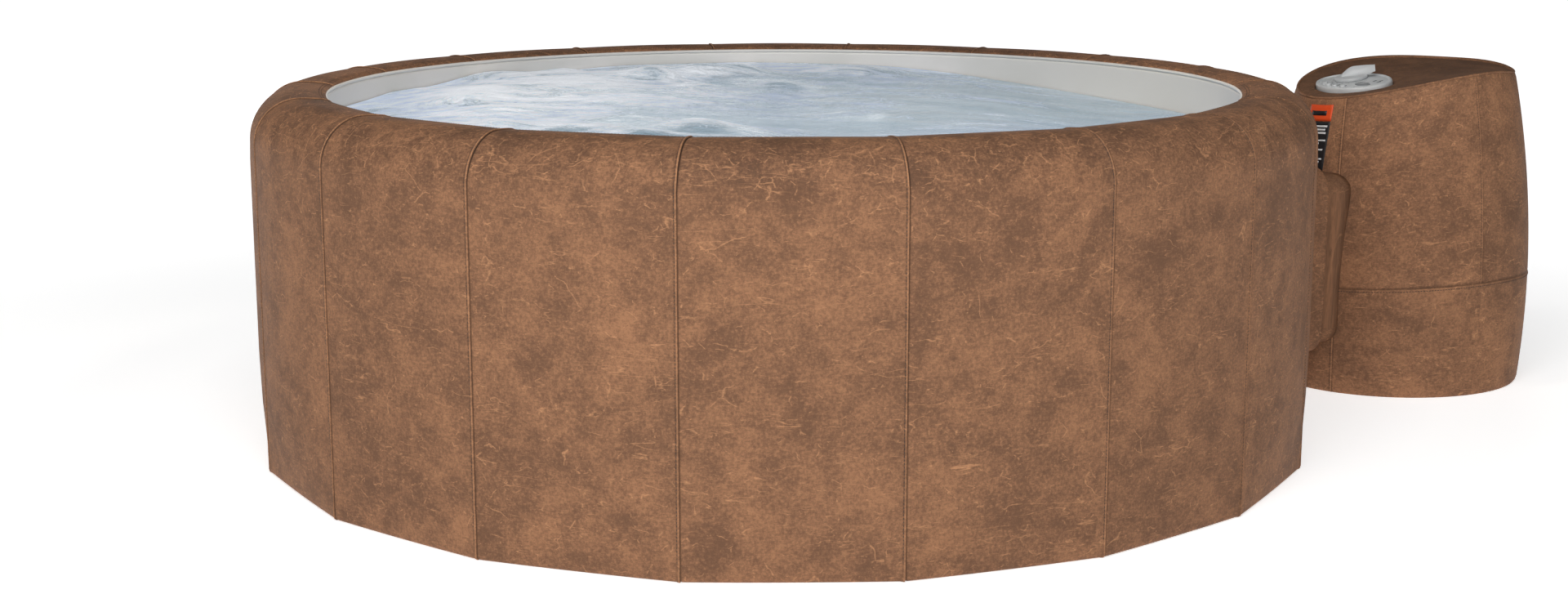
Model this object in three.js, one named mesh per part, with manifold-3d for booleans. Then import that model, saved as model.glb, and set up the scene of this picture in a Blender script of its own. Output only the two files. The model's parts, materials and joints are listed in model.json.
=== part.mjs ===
// A round, soft-sided portable hot tub with its separate equipment pack. Millimetres, +Z up.
// The origin is the middle of the tub on the floor. The pack stands beside the tub, joined to it by two
// hoses inside a short padded sleeve.
import * as THREE from 'three';
import { mergeVertices } from 'three/addons/utils/BufferGeometryUtils.js';
import Module from 'manifold-3d';

const wasm = await Module();
wasm.setup();

// ---------------------------------------------------------------- driving dimensions
const GAP = 0.4;                 // clearance kept between pieces that touch
const SKIN = 4;                  // vinyl and its backing

const TUB_RADIUS = 900;
const TUB_HEIGHT = 610;
const PANELS = 18;               // sewn panels round the tub jacket
const SEAM_ANGLE = 0.8;          // degrees from +X to the first jacket seam
const CORNER = 73;               // rounding of the wall's outer top corner
const FOAM_INSET = 6;            // foam's surface, inside the jacket's outer surface
const FOOT_INSET = 18;           // the same at the floor, where the jacket's panels are pulled flat
const HEM_RISE = 1;              // the jacket's lower edge, above the ground sheet's underside
const BASIN_RADIUS = 775;
const FLOOR_FOAM = 20;

const PACK_ANGLE = 19.77;        // degrees from +X, seen from the tub
const PACK_DISTANCE = 1265;      // tub's middle to pack's middle
const PACK_BASE = [244, 227];    // half lengths: away from the tub, and across
const PACK_BELT = [251, 238];
const PACK_RIM = [207, 190];
const BELT_SHARE = 0.36;         // height of the belt seam as a share of the pack's height

const HOSE_RADIUS = 24;
const TAIL_RADIUS = 19.5;        // spigots that the hoses push onto
const SUCTION_Z = 150;
const RETURN_Z = 340;
const LINE_ANGLE = 20.8;         // degrees from +X to the two wall fittings
const JET_ANGLES = [-9.2, 5.8, 35.8, 50.8];
const DRAIN_ANGLE = 110.8;
const DRAIN_Z = 62;

const PUMP_Y = 18;               // pump's axis, across from the pack's middle
const PUMP_INLET_X = -176;       // the pump's inlet end, towards the tub
const SHAFT_RADIUS = 6;
const SHELF_Z = 290;             // top of the shelf that carries the control box

const AIR_NIPPLE = [-64, PUMP_Y, 222];   // where the air tube meets the pump's outlet

const PANEL_MIDDLE = [-108, 8];  // control panel's middle, from the pack's middle
const PANEL_HALF = [62, 88];
const BUTTON_RADIUS = 6;

// ---------------------------------------------------------------- materials
const material = (color, roughness, metalness = 0) =>
  new THREE.MeshStandardMaterial({ color, roughness, metalness });
const brownVinyl = material(0x8a6549, 0.55);
const creamVinyl = material(0xd9cfc0, 0.4);
const foam = material(0xe8e2d0, 0.9);
const greyPlastic = material(0xbfc3c6, 0.4);
const whitePlastic = material(0xe6e6e2, 0.4);
const blackPlastic = material(0x26282a, 0.5);
const hoseRubber = material(0x3a3c3e, 0.6);
const steel = material(0xb9bcc0, 0.3, 1);
const paintedMotor = material(0x33383d, 0.45, 0.4);
const filterPaper = material(0xf0f0ec, 0.9);
const windowPlastic = material(0x20262c, 0.15);

// ---------------------------------------------------------------- geometry helpers
// One closed body: shared corners merged, empty triangles dropped, faces turned outwards.
function closed(geometry) {
  const bare = new THREE.BufferGeometry();
  bare.setAttribute('position', geometry.getAttribute('position').clone());
  if (geometry.index) bare.setIndex(geometry.index.clone());
  const merged = mergeVertices(bare, 1e-3);
  const at = merged.getAttribute('position');
  const corner = (i) => new THREE.Vector3().fromBufferAttribute(at, i);
  const kept = [];
  let volume = 0;
  for (let i = 0; i < merged.index.count; i += 3) {
    const [a, b, c] = [0, 1, 2].map((k) => merged.index.getX(i + k));
    if (a === b || b === c || c === a) continue;
    volume += corner(a).dot(corner(b).cross(corner(c)));
    kept.push(a, b, c);
  }
  if (volume < 0) kept.reverse();
  merged.setIndex(kept);
  merged.computeVertexNormals();
  return merged;
}

function toSolid(geometry) {
  const body = closed(geometry);
  return new wasm.Manifold(new wasm.Mesh({
    numProp: 3,
    vertProperties: new Float32Array(body.getAttribute('position').array),
    triVerts: new Uint32Array(body.index.array),
  }));
}

function fromSolid(solid) {
  const mesh = solid.getMesh();
  const geometry = new THREE.BufferGeometry();
  geometry.setAttribute('position', new THREE.Float32BufferAttribute(mesh.vertProperties, 3));
  geometry.setIndex(Array.from(mesh.triVerts));
  return geometry;
}

const cut = (geometry, ...tools) =>
  fromSolid(tools.reduce((solid, tool) => solid.subtract(toSolid(tool)), toSolid(geometry)));
const join = (geometry, ...others) =>
  fromSolid(others.reduce((solid, other) => solid.add(toSolid(other)), toSolid(geometry)));

// A profile of [radius, height] pairs turned about +Z. Segments start at the first jacket seam.
function turned(profile, segments) {
  const start = THREE.MathUtils.degToRad(SEAM_ANGLE + 90);
  const points = profile.map(([r, z]) => new THREE.Vector2(r, z));
  const geometry = new THREE.LatheGeometry(points, segments, start, 2 * Math.PI);
  return closed(geometry.rotateX(Math.PI / 2));
}

// The same, turned about +X, for pipes, jets and the pump: pairs are [radius, x].
const turnedX = (profile, segments) => turned(profile, segments).rotateY(Math.PI / 2);

// A closed ring or tube profile from its inner and outer radius and its two ends.
const sleeve = (inner, outer, low, high) =>
  [[inner, low], [outer, low], [outer, high], [inner, high], [inner, low]];
// A solid disc or rod profile.
const rod = (radius, low, high) => [[0, low], [radius, low], [radius, high], [0, high]];

const box = (sizeX, sizeY, sizeZ, x, y, z) =>
  new THREE.BoxGeometry(sizeX, sizeY, sizeZ).translate(x, y, z);

// A body through a list of loops with the same number of points. It closes on itself, or has flat caps.
function loft(loops, wraps) {
  const count = loops[0].length;
  const points = loops.flat();
  const index = [];
  const last = wraps ? loops.length : loops.length - 1;
  for (let i = 0; i < last; i += 1) {
    for (let j = 0; j < count; j += 1) {
      const k = (j + 1) % count;
      const [here, above] = [i * count, ((i + 1) % loops.length) * count];
      index.push(here + j, here + k, above + k, here + j, above + k, above + j);
    }
  }
  if (!wraps) {
    const middles = [loops[0], loops[loops.length - 1]].map((loop) =>
      loop.reduce((sum, p) => sum.clone().add(p), new THREE.Vector3()).divideScalar(count));
    points.push(...middles);
    const top = (loops.length - 1) * count;
    for (let j = 0; j < count; j += 1) {
      const k = (j + 1) % count;
      index.push(points.length - 2, k, j, points.length - 1, top + j, top + k);
    }
  }
  const geometry = new THREE.BufferGeometry().setFromPoints(points);
  geometry.setIndex(index);
  return closed(geometry);
}

// A round tube along a smooth route.
function tube(route, radius, sides, steps) {
  const section = new THREE.Shape(
    new THREE.EllipseCurve(0, 0, radius, radius).getPoints(sides).slice(0, sides));
  const path = new THREE.CatmullRomCurve3(route.map((p) => new THREE.Vector3(...p)));
  return closed(new THREE.ExtrudeGeometry(section, { steps, extrudePath: path, curveSegments: 1 }));
}

// A flat shape with straight sides, drawn in x and y and raised along +Z.
function raised(points, low, high) {
  const shape = new THREE.Shape(points.map(([x, y]) => new THREE.Vector2(x, y)));
  const geometry = new THREE.ExtrudeGeometry(shape, { depth: high - low, bevelEnabled: false });
  return closed(geometry.translate(0, 0, low));
}

const around = (count, place) =>
  Array.from({ length: count }, (_, i) => place((2 * Math.PI * i) / count, i));
const oval = (halfX, halfY, count) =>
  around(count, (a) => [halfX * Math.cos(a), halfY * Math.sin(a)]);

// ---------------------------------------------------------------- scene helpers
const tub = new THREE.Group();

function piece(parent, name, geometry, finish) {
  const mesh = new THREE.Mesh(closed(geometry), finish);
  mesh.name = name;
  parent.add(mesh);
  return mesh;
}

// A group whose +X points outwards from the tub's middle at one angle and height.
function station(angle, z) {
  const group = new THREE.Group();
  group.rotation.z = THREE.MathUtils.degToRad(angle);
  group.position.z = z;
  tub.add(group);
  return group;
}

// A drill through the wall at a station, in the tub's frame.
const wallDrill = (angle, z, radius) =>
  turnedX(rod(radius, BASIN_RADIUS - 60, TUB_RADIUS + 40), 10)
    .rotateZ(THREE.MathUtils.degToRad(angle)).translate(0, 0, z);

// ---------------------------------------------------------------- tub shell
const RING = PANELS * 2;
const FITTING_HOLE = 29;
const JET_HOLE = 25;
const DRAIN_HOLE = 17;

const lineDrills = (radius) => [SUCTION_Z, RETURN_Z].map((z) => wallDrill(LINE_ANGLE, z, radius));
const jetDrills = () => JET_ANGLES.map((angle) => wallDrill(angle, RETURN_Z, JET_HOLE));

// The rounded top of the wall, inset from the outer surface, from outside to inside.
function rimProfile(inset) {
  const middle = [TUB_RADIUS - CORNER, TUB_HEIGHT - CORNER];
  const radius = CORNER - inset;
  const corner = [0, 30, 60, 90].map((degrees) => {
    const a = THREE.MathUtils.degToRad(degrees);
    return [middle[0] + radius * Math.cos(a), middle[1] + radius * Math.sin(a)];
  });
  return [...corner, [803, TUB_HEIGHT - 1 - inset], [787, TUB_HEIGHT - 3.5 - inset]];
}

function makeJacket() {
  const outer = [[TUB_RADIUS, HEM_RISE], [TUB_RADIUS, 270], ...rimProfile(0), [BASIN_RADIUS + 1, TUB_HEIGHT - 9]];
  const inner = [[BASIN_RADIUS + 5, TUB_HEIGHT - 11], ...rimProfile(SKIN).reverse(),
    [TUB_RADIUS - SKIN, 270], [TUB_RADIUS - SKIN, HEM_RISE], [TUB_RADIUS, HEM_RISE]];
  return cut(turned([...outer, ...inner], RING),
    ...lineDrills(FITTING_HOLE), wallDrill(DRAIN_ANGLE, DRAIN_Z, DRAIN_HOLE));
}

function makeWallFoam() {
  const profile = [[BASIN_RADIUS + 7, SKIN], [TUB_RADIUS - FOOT_INSET, SKIN], [TUB_RADIUS - FOAM_INSET, 120],
    ...rimProfile(FOAM_INSET),
    [BASIN_RADIUS + 7, TUB_HEIGHT - 20], [BASIN_RADIUS + 7, SKIN]];
  const groove = manifoldPath(24, 3);
  return cut(turned(profile, RING), ...lineDrills(FITTING_HOLE), ...jetDrills(), groove,
    wallDrill(DRAIN_ANGLE, DRAIN_Z, DRAIN_HOLE));
}

function makeLiner() {
  const [low, top] = [SKIN + FLOOR_FOAM + GAP, TUB_HEIGHT - 24];
  const profile = [[0, low], [BASIN_RADIUS + SKIN, low], [BASIN_RADIUS + SKIN, top], [BASIN_RADIUS, top],
    [BASIN_RADIUS, low + SKIN + 12], [BASIN_RADIUS - 12, low + SKIN], [0, low + SKIN]];
  return cut(turned(profile, RING), wallDrill(LINE_ANGLE, SUCTION_Z, FITTING_HOLE), ...jetDrills(),
    wallDrill(DRAIN_ANGLE, DRAIN_Z, DRAIN_HOLE));
}

// ---------------------------------------------------------------- water lines in the wall
const MANIFOLD_RADIUS = BASIN_RADIUS + 68;

// The arc of pipe that feeds the jets, inside the wall foam. It runs past the end jets by a few degrees.
function manifoldPath(radius, overrun) {
  const [first, last] = [JET_ANGLES[0] - overrun, JET_ANGLES[JET_ANGLES.length - 1] + overrun];
  const count = 9;
  const route = Array.from({ length: count }, (_, i) => {
    const a = THREE.MathUtils.degToRad(first + ((last - first) * i) / (count - 1));
    return [MANIFOLD_RADIUS * Math.cos(a), MANIFOLD_RADIUS * Math.sin(a), RETURN_Z];
  });
  return tube(route, radius, 8, 12);
}

function makeManifold() {
  const turnTo = (geometry, angle) =>
    geometry.rotateZ(THREE.MathUtils.degToRad(angle)).translate(0, 0, RETURN_Z);
  const stubs = (radius, from) =>
    JET_ANGLES.map((angle) => turnTo(turnedX(rod(radius, from, MANIFOLD_RADIUS), 8), angle));
  const inlet = (radius, to) => turnTo(turnedX(rod(radius, MANIFOLD_RADIUS, to), 8), LINE_ANGLE);
  const outside = join(manifoldPath(17, 2), ...stubs(11, 823), inlet(18, 868));
  return cut(outside, join(manifoldPath(13, 1.6), ...stubs(8, 820), inlet(14, 872)));
}

function addJet(angle, number) {
  const place = station(angle, RETURN_Z);
  const body = [[10, 822], [23, 822], [23, 769.5], [34, 769.5], [34, 766], [31, 764], [20, 764],
    [20, 800], [10, 808], [10, 822]];
  piece(place, `jet_body_${number}`, turnedX(body, 12), whitePlastic);
  // The nozzle is a ball with a snout, bored through.
  const ball = [[6, 747], [10, 747], [11, 767], [14.5, 773], [16, 780], [14.5, 787], [9, 793], [6, 793],
    [6, 747]];
  piece(place, `jet_nozzle_${number}`, turnedX(ball, 10), greyPlastic);
}

// A pipe through the wall with a flange inside the basin and a hose tail outside.
function addWallFitting(name, z, inside, flange) {
  const profile = [[19, inside], [flange - 2, inside], [flange, inside + 2], [flange, inside + 6], [27, inside + 6],
    [27, 903], [33, 903], [33, 909], [TAIL_RADIUS, 909], [TAIL_RADIUS, 940], [16, 940], [16, inside + 12],
    [19, inside + 12], [19, inside]];
  piece(station(LINE_ANGLE, z), name, turnedX(profile, 12), whitePlastic);
}

function addFilter() {
  const place = station(LINE_ANGLE, SUCTION_Z);
  const [front, back] = [640, 757.5];
  const pleats = around(48, (a, i) => {
    const r = i % 2 ? 50 : 40;
    return [r * Math.cos(a), r * Math.sin(a)];
  });
  const cartridge = cut(raised(pleats, front + 7, back), turned(rod(18, front, back + 5), 12));
  piece(place, 'filter_cartridge', cartridge.rotateX(Math.PI / 2).rotateZ(Math.PI / 2), filterPaper);
  const cup = turnedX([[0, front], [52, front], [58, front + 6], [58, 756], [54, 756], [54, front + 9],
    [48, front + 4], [0, front + 4]], 24);
  const slots = around(6, (a) => box(84, 12, 20, (front + back) / 2, 0, 56).rotateX(a));
  piece(place, 'filter_cage', cut(cup, ...slots), whitePlastic);
}

function addDrain() {
  const place = station(DRAIN_ANGLE, DRAIN_Z);
  const fitting = [[11, 767], [24, 767], [24, 771], [15, 771], [15, 903], [22, 903], [22, 908], [14, 908],
    [14, 926], [11, 926], [11, 767]];
  piece(place, 'drain_fitting', turnedX(fitting, 12), whitePlastic);
  const cap = turnedX([[0, 936], [18, 936], [20, 934], [20, 910], [14.6, 910], [14.6, 927], [0, 927]], 20);
  piece(place, 'drain_cap', join(cap, box(10, 34, 7, 937, 0, 0)), blackPlastic);
}

// ---------------------------------------------------------------- equipment pack
const pack = new THREE.Group();
pack.rotation.z = THREE.MathUtils.degToRad(PACK_ANGLE);
pack.position.set(PACK_DISTANCE * Math.cos(pack.rotation.z), PACK_DISTANCE * Math.sin(pack.rotation.z), 0);
tub.add(pack);

// The top falls towards the tub and is a little dished across.
const topHeight = (x, y) => 600 - 2.1e-4 * (x - 295) ** 2 + 4.1e-4 * y ** 2;

// Half lengths of the pack at one share of its height, on a smooth curve through base, belt and rim.
const halfAt = (share, axis) =>
  PACK_BASE[axis] * ((share - BELT_SHARE) * (share - 1)) / BELT_SHARE
  + PACK_BELT[axis] * (share * (share - 1)) / (BELT_SHARE * (BELT_SHARE - 1))
  + PACK_RIM[axis] * (share * (share - BELT_SHARE)) / (1 - BELT_SHARE);

const PACK_RING = 30;

// One loop round the pack, inset from its outer surface.
function packLoop(share, inset) {
  return oval(1, 1, PACK_RING).map(([c, s]) => {
    const [x, y] = [(halfAt(share, 0) - inset) * c, (halfAt(share, 1) - inset) * s];
    const rimZ = topHeight(halfAt(1, 0) * c, halfAt(1, 1) * s);
    return new THREE.Vector3(x, y, share * rimZ);
  });
}

function packWall(inset, thickness, shares) {
  const outer = shares.map((share) => packLoop(share, inset));
  const inner = shares.map((share) => packLoop(share, inset + thickness)).reverse();
  return loft([...outer, ...inner], true);
}

// Holes on the tub's side of the pack, for the two hoses.
const hoseHoles = () => [SUCTION_Z, RETURN_Z].map((z) =>
  turnedX(rod(HOSE_RADIUS + 5, -300, -150), 14).translate(0, PUMP_Y, z));
// The hole for the cable gland, low on the side away from the tub.
const GLAND_Z = 70;
const glandHole = () => turnedX(rod(11, 150, 300), 12).translate(0, 0, GLAND_Z);

// The panel's frame: its middle on the sloping top, its +Z square to the top there.
const PANEL_TILT = Math.atan(2 * 2.1e-4 * (295 - PANEL_MIDDLE[0]));
const panel = new THREE.Group();
panel.position.set(...PANEL_MIDDLE, topHeight(...PANEL_MIDDLE) + 2);
panel.rotation.y = -PANEL_TILT;
pack.add(panel);

const inPanel = (geometry) => geometry.rotateY(-PANEL_TILT).translate(...panel.position.toArray());

function makePackTop() {
  const inset = SKIN + 1.4;
  const level = (scale, drop) => oval(1, 1, PACK_RING).map(([c, s]) => {
    const [x, y] = [(PACK_RIM[0] - inset) * c * scale, (PACK_RIM[1] - inset) * s * scale];
    return new THREE.Vector3(x, y, topHeight(x, y) - drop);
  });
  const body = loft([level(0.5, 0), level(1, 1), level(1, 12), level(0.5, 12)], false);
  const opening = inPanel(raised(oval(PANEL_HALF[0] + 1.5, PANEL_HALF[1] + 1.5, 28), -40, 40));
  return cut(body, opening);
}

// A bead sewn between the jacket and the top.
function makePiping() {
  const section = around(5, (a) => [3 * Math.cos(a), 3 * Math.sin(a)]);
  const loops = oval(1, 1, PACK_RING).map(([c, s]) => {
    const [x, y] = [(PACK_RIM[0] - 2) * c, (PACK_RIM[1] - 2) * s];
    const z = topHeight(PACK_RIM[0] * c, PACK_RIM[1] * s) + 3 + GAP;
    return section.map(([out, up]) => new THREE.Vector3(x + out * c, y + out * s, z + up));
  });
  return loft(loops, true);
}

function addPackShell() {
  const jacket = packWall(0, SKIN, [0, 0.18, 0.4, 0.7, 1]);
  piece(pack, 'pack_jacket', cut(jacket, ...hoseHoles(), glandHole()), brownVinyl);
  const shell = packWall(SKIN + 8, 5, [0.04, 0.4, 0.95]);
  piece(pack, 'pack_shell', cut(shell, ...hoseHoles(), glandHole()), greyPlastic);
  piece(pack, 'pack_top', makePackTop(), brownVinyl);
  piece(pack, 'pack_piping', makePiping(), brownVinyl);
  piece(pack, 'pack_base', raised(oval(PACK_BASE[0] - 22, PACK_BASE[1] - 22, 24), 10, 20), blackPlastic);
  const corners = [[1, 1], [1, -1], [-1, 1], [-1, -1]];
  corners.forEach(([x, y], i) => {
    const foot = piece(pack, `pack_foot_${i + 1}`, turned(rod(18, 0, 10 - GAP), 12), blackPlastic);
    foot.position.set(x * 130, y * 120, 0);
  });
}

// A short padded sleeve that hides the hoses between the tub and the pack.
function makeSleeve() {
  const [halfWidth, low, high, round] = [143, 80, 428, 48];
  const outline = (inset) => {
    const [w, a, b, r] = [halfWidth - inset, low + inset, high - inset, round - inset];
    const centres = [[w - r, b - r, 0], [-w + r, b - r, 90], [-w + r, a + r, 180], [w - r, a + r, 270]];
    return centres.flatMap(([y, z, from]) => [0, 22.5, 45, 67.5, 90].map((step) => {
      const t = THREE.MathUtils.degToRad(from + step);
      return [y + r * Math.cos(t), z + r * Math.sin(t)];
    }));
  };
  const [start, end] = [-400, -PACK_BELT[0] - GAP - 0.6];
  const bar = (inset, from, to) =>
    raised(outline(inset), from, to).rotateX(Math.PI / 2).rotateZ(Math.PI / 2);
  const tubSide = turned(rod(TUB_RADIUS + 3, 0, TUB_HEIGHT), 72).translate(-PACK_DISTANCE, 0, 0);
  return cut(bar(0, start, end), bar(12, start - 5, end + 5), tubSide);
}

// ---------------------------------------------------------------- pump, motor and heat jacket
function addPump() {
  const line = new THREE.Group();
  line.position.set(PUMP_INLET_X, PUMP_Y, SUCTION_Z);
  pack.add(line);

  const casing = turnedX([[16, 0], [TAIL_RADIUS, 0], [TAIL_RADIUS, 34], [62, 38], [62, 96], [52, 96], [52, 46], [16, 42],
    [16, 0]], 20);
  const outlet = turned(rod(TAIL_RADIUS, 50, 112), 12).translate(67, 0, 0);
  const outletBore = turned(rod(16, 45, 113), 12).translate(67, 0, 0);
  const airNipple = turnedX(rod(4, 80, AIR_NIPPLE[0] - PUMP_INLET_X), 8).translate(0, 0, AIR_NIPPLE[2] - SUCTION_Z);
  const airBore = turnedX(rod(2.5, 70, 120), 6).translate(0, 0, AIR_NIPPLE[2] - SUCTION_Z);
  piece(line, 'pump_housing', cut(join(casing, outlet, airNipple), outletBore, airBore), blackPlastic);
  piece(line, 'pump_backplate', turnedX(sleeve(9, 62, 96 + GAP, 102), 20), blackPlastic);

  const vanes = around(6, (a) => box(16, 5, 30, 62, 0, 29).rotateX(a));
  const hub = turnedX([[SHAFT_RADIUS + GAP, 54], [14, 54], [14, 70], [46, 70], [46, 75],
    [SHAFT_RADIUS + GAP, 75], [SHAFT_RADIUS + GAP, 54]], 16);
  piece(line, 'pump_impeller', join(hub, ...vanes), whitePlastic);
  piece(line, 'pump_shaft', turnedX(rod(SHAFT_RADIUS, 56, 300), 10), steel);
  piece(line, 'motor_rotor', turnedX(sleeve(SHAFT_RADIUS + GAP, 30, 140, 262), 12), steel);

  const frame = turnedX([[13, 102 + GAP], [50, 102 + GAP], [56, 108], [56, 300], [48, 308], [13, 308],
    [13, 290], [38, 284], [38, 120], [13, 116], [13, 102 + GAP]], 20);
  piece(line, 'motor_body', frame, paintedMotor);
  const bearing = () => turnedX(sleeve(SHAFT_RADIUS + GAP, 13 - GAP, 0, 11), 12);
  piece(line, 'bearing_front', bearing(), steel).position.x = 104;
  piece(line, 'bearing_rear', bearing(), steel).position.x = 291;
  piece(line, 'heat_jacket', turnedX(sleeve(56 + GAP * 2, 66, 128, 272), 20), steel);

  const [saddleLow, saddleHigh] = [20 + GAP - SUCTION_Z, -30];
  const block = box(110, 96, saddleHigh - saddleLow, 200, 0, (saddleLow + saddleHigh) / 2);
  const foot = box(90, 60, 6, 245, -72, saddleLow + 3);
  const upright = box(90, 6, SHELF_Z - SUCTION_Z - saddleLow, 245, -99, (saddleLow + SHELF_Z - SUCTION_Z) / 2);
  const shelf = box(90, 150, 6, 245, -27, SHELF_Z - SUCTION_Z - 3);
  const saddle = cut(block, turnedX(rod(67, 100, 320), 20));
  piece(line, 'motor_cradle', join(saddle, foot, upright, shelf), blackPlastic);
}

// ---------------------------------------------------------------- hoses
function addHoses() {
  const reach = (radius, angle) => {
    const turn = THREE.MathUtils.degToRad(angle - PACK_ANGLE);
    return [radius * Math.cos(turn) - PACK_DISTANCE, radius * Math.sin(turn)];
  };
  const sides = 8;
  const inner = (TAIL_RADIUS + GAP) / Math.cos(Math.PI / sides);
  const longer = (from, to) => to.map((value, i) => value + (value - from[i]) * 0.25);
  const bored = (route, steps) => {
    const first = longer(route[1], route[0]);
    const last = longer(route[route.length - 2], route[route.length - 1]);
    return cut(tube(route, HOSE_RADIUS, sides, steps),
      tube([first, ...route, last], inner, sides, steps + 4));
  };

  const tail = reach(911, LINE_ANGLE);
  const suction = [[...tail, SUCTION_Z], [-320, PUMP_Y - 0.5, SUCTION_Z], [-260, PUMP_Y, SUCTION_Z],
    [PUMP_INLET_X + 30, PUMP_Y, SUCTION_Z]];
  const outletX = PUMP_INLET_X + 67;
  const bend = 70;
  const corner = [0, 22.5, 45, 67.5, 90].map((degrees) => {
    const a = THREE.MathUtils.degToRad(degrees);
    return [outletX - bend + bend * Math.cos(a), PUMP_Y, RETURN_Z - bend + bend * Math.sin(a)];
  });
  const back = [[outletX, PUMP_Y, SUCTION_Z + 90], ...corner, [-260, PUMP_Y, RETURN_Z],
    [-320, PUMP_Y - 0.5, RETURN_Z], [...tail, RETURN_Z]];
  piece(pack, 'suction_hose', bored(suction, 4), hoseRubber);
  piece(pack, 'return_hose', bored(back, 12), hoseRubber);

  const band = cut(turnedX(sleeve(HOSE_RADIUS + 2, HOSE_RADIUS + 4, -6, 6), 14));
  const clamp = join(band, box(10, 16, 9, 0, 0, HOSE_RADIUS + 7.5));
  const places = [[-333, SUCTION_Z, false], [PUMP_INLET_X + 12, SUCTION_Z, false],
    [-332, RETURN_Z, false], [outletX, SUCTION_Z + 100, true]];
  places.forEach(([x, z, upright], i) => {
    const ring = piece(pack, `hose_clamp_${i + 1}`, clamp, steel);
    ring.position.set(x, PUMP_Y, z);
    if (upright) ring.rotation.y = Math.PI / 2;
  });
}

// ---------------------------------------------------------------- controls and electrics
const BUTTONS = [[-40, 36], [-46, 15], [-47, -6], [-43, -27]];
const DIAL = [8, 20];
const WINDOW = [-10, -44];
const WINDOW_HALF = [12, 20];
const VALVE_PORT = [30, -38];    // how far the air valve's port reaches along X, and its height in the panel's frame

function addControls() {
  const outline = oval(...PANEL_HALF, 28);
  const plate = loft([[0.98, -10], [1, 3], [0.98, 7], [0.93, 9]].map(([scale, z]) =>
    outline.map(([x, y]) => new THREE.Vector3(x * scale, y * scale, z))), false);
  const under = raised(oval(PANEL_HALF[0] - 8, PANEL_HALF[1] - 8, 20), -12, 2);
  const buttonHoles = BUTTONS.map(([x, y]) =>
    turned(rod(BUTTON_RADIUS + 0.7, -3, 12), 10).translate(x, y, 0));
  const dialHole = turned(rod(9, -3, 12), 10).translate(...DIAL, 0);
  const windowHole = raised(oval(WINDOW_HALF[0] + 0.5, WINDOW_HALF[1] + 0.5, 16), -3, 12).translate(...WINDOW, 0);
  piece(panel, 'control_bezel', cut(plate, under, ...buttonHoles, dialHole, windowHole), greyPlastic);
  const lens = loft([[1, 3], [1, 8.6], [0.9, 9.4]].map(([scale, z]) =>
    oval(...WINDOW_HALF, 16).map(([x, y]) => new THREE.Vector3(x * scale, y * scale, z))), false);
  piece(panel, 'display_lens', lens, windowPlastic).position.set(...WINDOW, 0);

  BUTTONS.forEach(([x, y], i) => {
    const cap = [[0, 0.5], [BUTTON_RADIUS, 0.5], [BUTTON_RADIUS, 10], [BUTTON_RADIUS - 1.5, 11.5], [0, 11.5]];
    piece(panel, `button_${i + 1}`, turned(cap, 10), greyPlastic).position.set(x, y, 0);
  });

  // The dial has a finger grip that rises as a fin across it.
  const disc = turned([[0, -8], [8, -8], [8, 9.6], [29, 9.6], [29, 13], [26, 15], [0, 15]], 24);
  const fin = new THREE.ExtrudeGeometry(
    new THREE.Shape([[-30, 12], [26, 12], [34, 30], [12, 29], [-12, 22]].map((p) => new THREE.Vector2(...p))),
    { depth: 9, bevelEnabled: false }).translate(0, 0, -4.5).rotateX(Math.PI / 2);
  const knob = piece(panel, 'air_dial', join(disc, fin), greyPlastic);
  knob.position.set(...DIAL, 0);
  knob.rotation.z = THREE.MathUtils.degToRad(-35);

  const board = box(74, 120, 2, 0, 0, -16);
  const boardHole = turned(rod(12, -30, 0), 12).translate(...DIAL, 0);
  piece(panel, 'circuit_board', cut(board, boardHole), material(0x2f6b46, 0.5));
  const valve = [[0, -50], [14, -50], [14, -9], [0, -9]];
  const port = turnedX(rod(6, 10, VALVE_PORT[0]), 8).translate(0, 0, VALVE_PORT[1]);
  piece(panel, 'air_valve', cut(join(turned(valve, 12), port), box(60, 60, 10, 0, 0, -13.6)), blackPlastic)
    .position.set(...DIAL, 0);

  const [portX, portZ] = [DIAL[0] + VALVE_PORT[0], VALVE_PORT[1]];
  const startX = panel.position.x + portX * Math.cos(PANEL_TILT) - portZ * Math.sin(PANEL_TILT) + 1;
  const startY = DIAL[1] + PANEL_MIDDLE[1];
  const startZ = panel.position.z + portX * Math.sin(PANEL_TILT) + portZ * Math.cos(PANEL_TILT);
  const route = [[startX, startY, startZ], [-38, startY, startZ], [-14, startY - 2, 505], [-12, 28, 400],
    [-16, 24, 300], [-30, PUMP_Y + 1, 236], [-50, PUMP_Y, AIR_NIPPLE[2] + 1],
    [AIR_NIPPLE[0] + 2, PUMP_Y, AIR_NIPPLE[2]]];
  piece(pack, 'air_tube', tube(route, 5, 8, 16), hoseRubber);
}

function addElectrics() {
  const centre = [85, -5, SHELF_Z + 45 + GAP];
  const caseCup = cut(box(150, 170, 90, ...centre), box(142, 162, 90, centre[0], centre[1], centre[2] + 5));
  piece(pack, 'control_box', caseCup, greyPlastic);
  piece(pack, 'control_box_lid', box(154, 174, 4, centre[0], centre[1], centre[2] + 47.5), greyPlastic);
  const gland = turnedX([[0, 214], [9, 214], [9, 251.5], [16, 251.5], [16, 256], [11, 258], [9, 270], [5, 274],
    [0, 274]], 12);
  const bore = turnedX(rod(3.5, 205, 280), 8);
  piece(pack, 'cable_gland', cut(gland, bore).translate(0, 0, GLAND_Z), blackPlastic);
}

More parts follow.
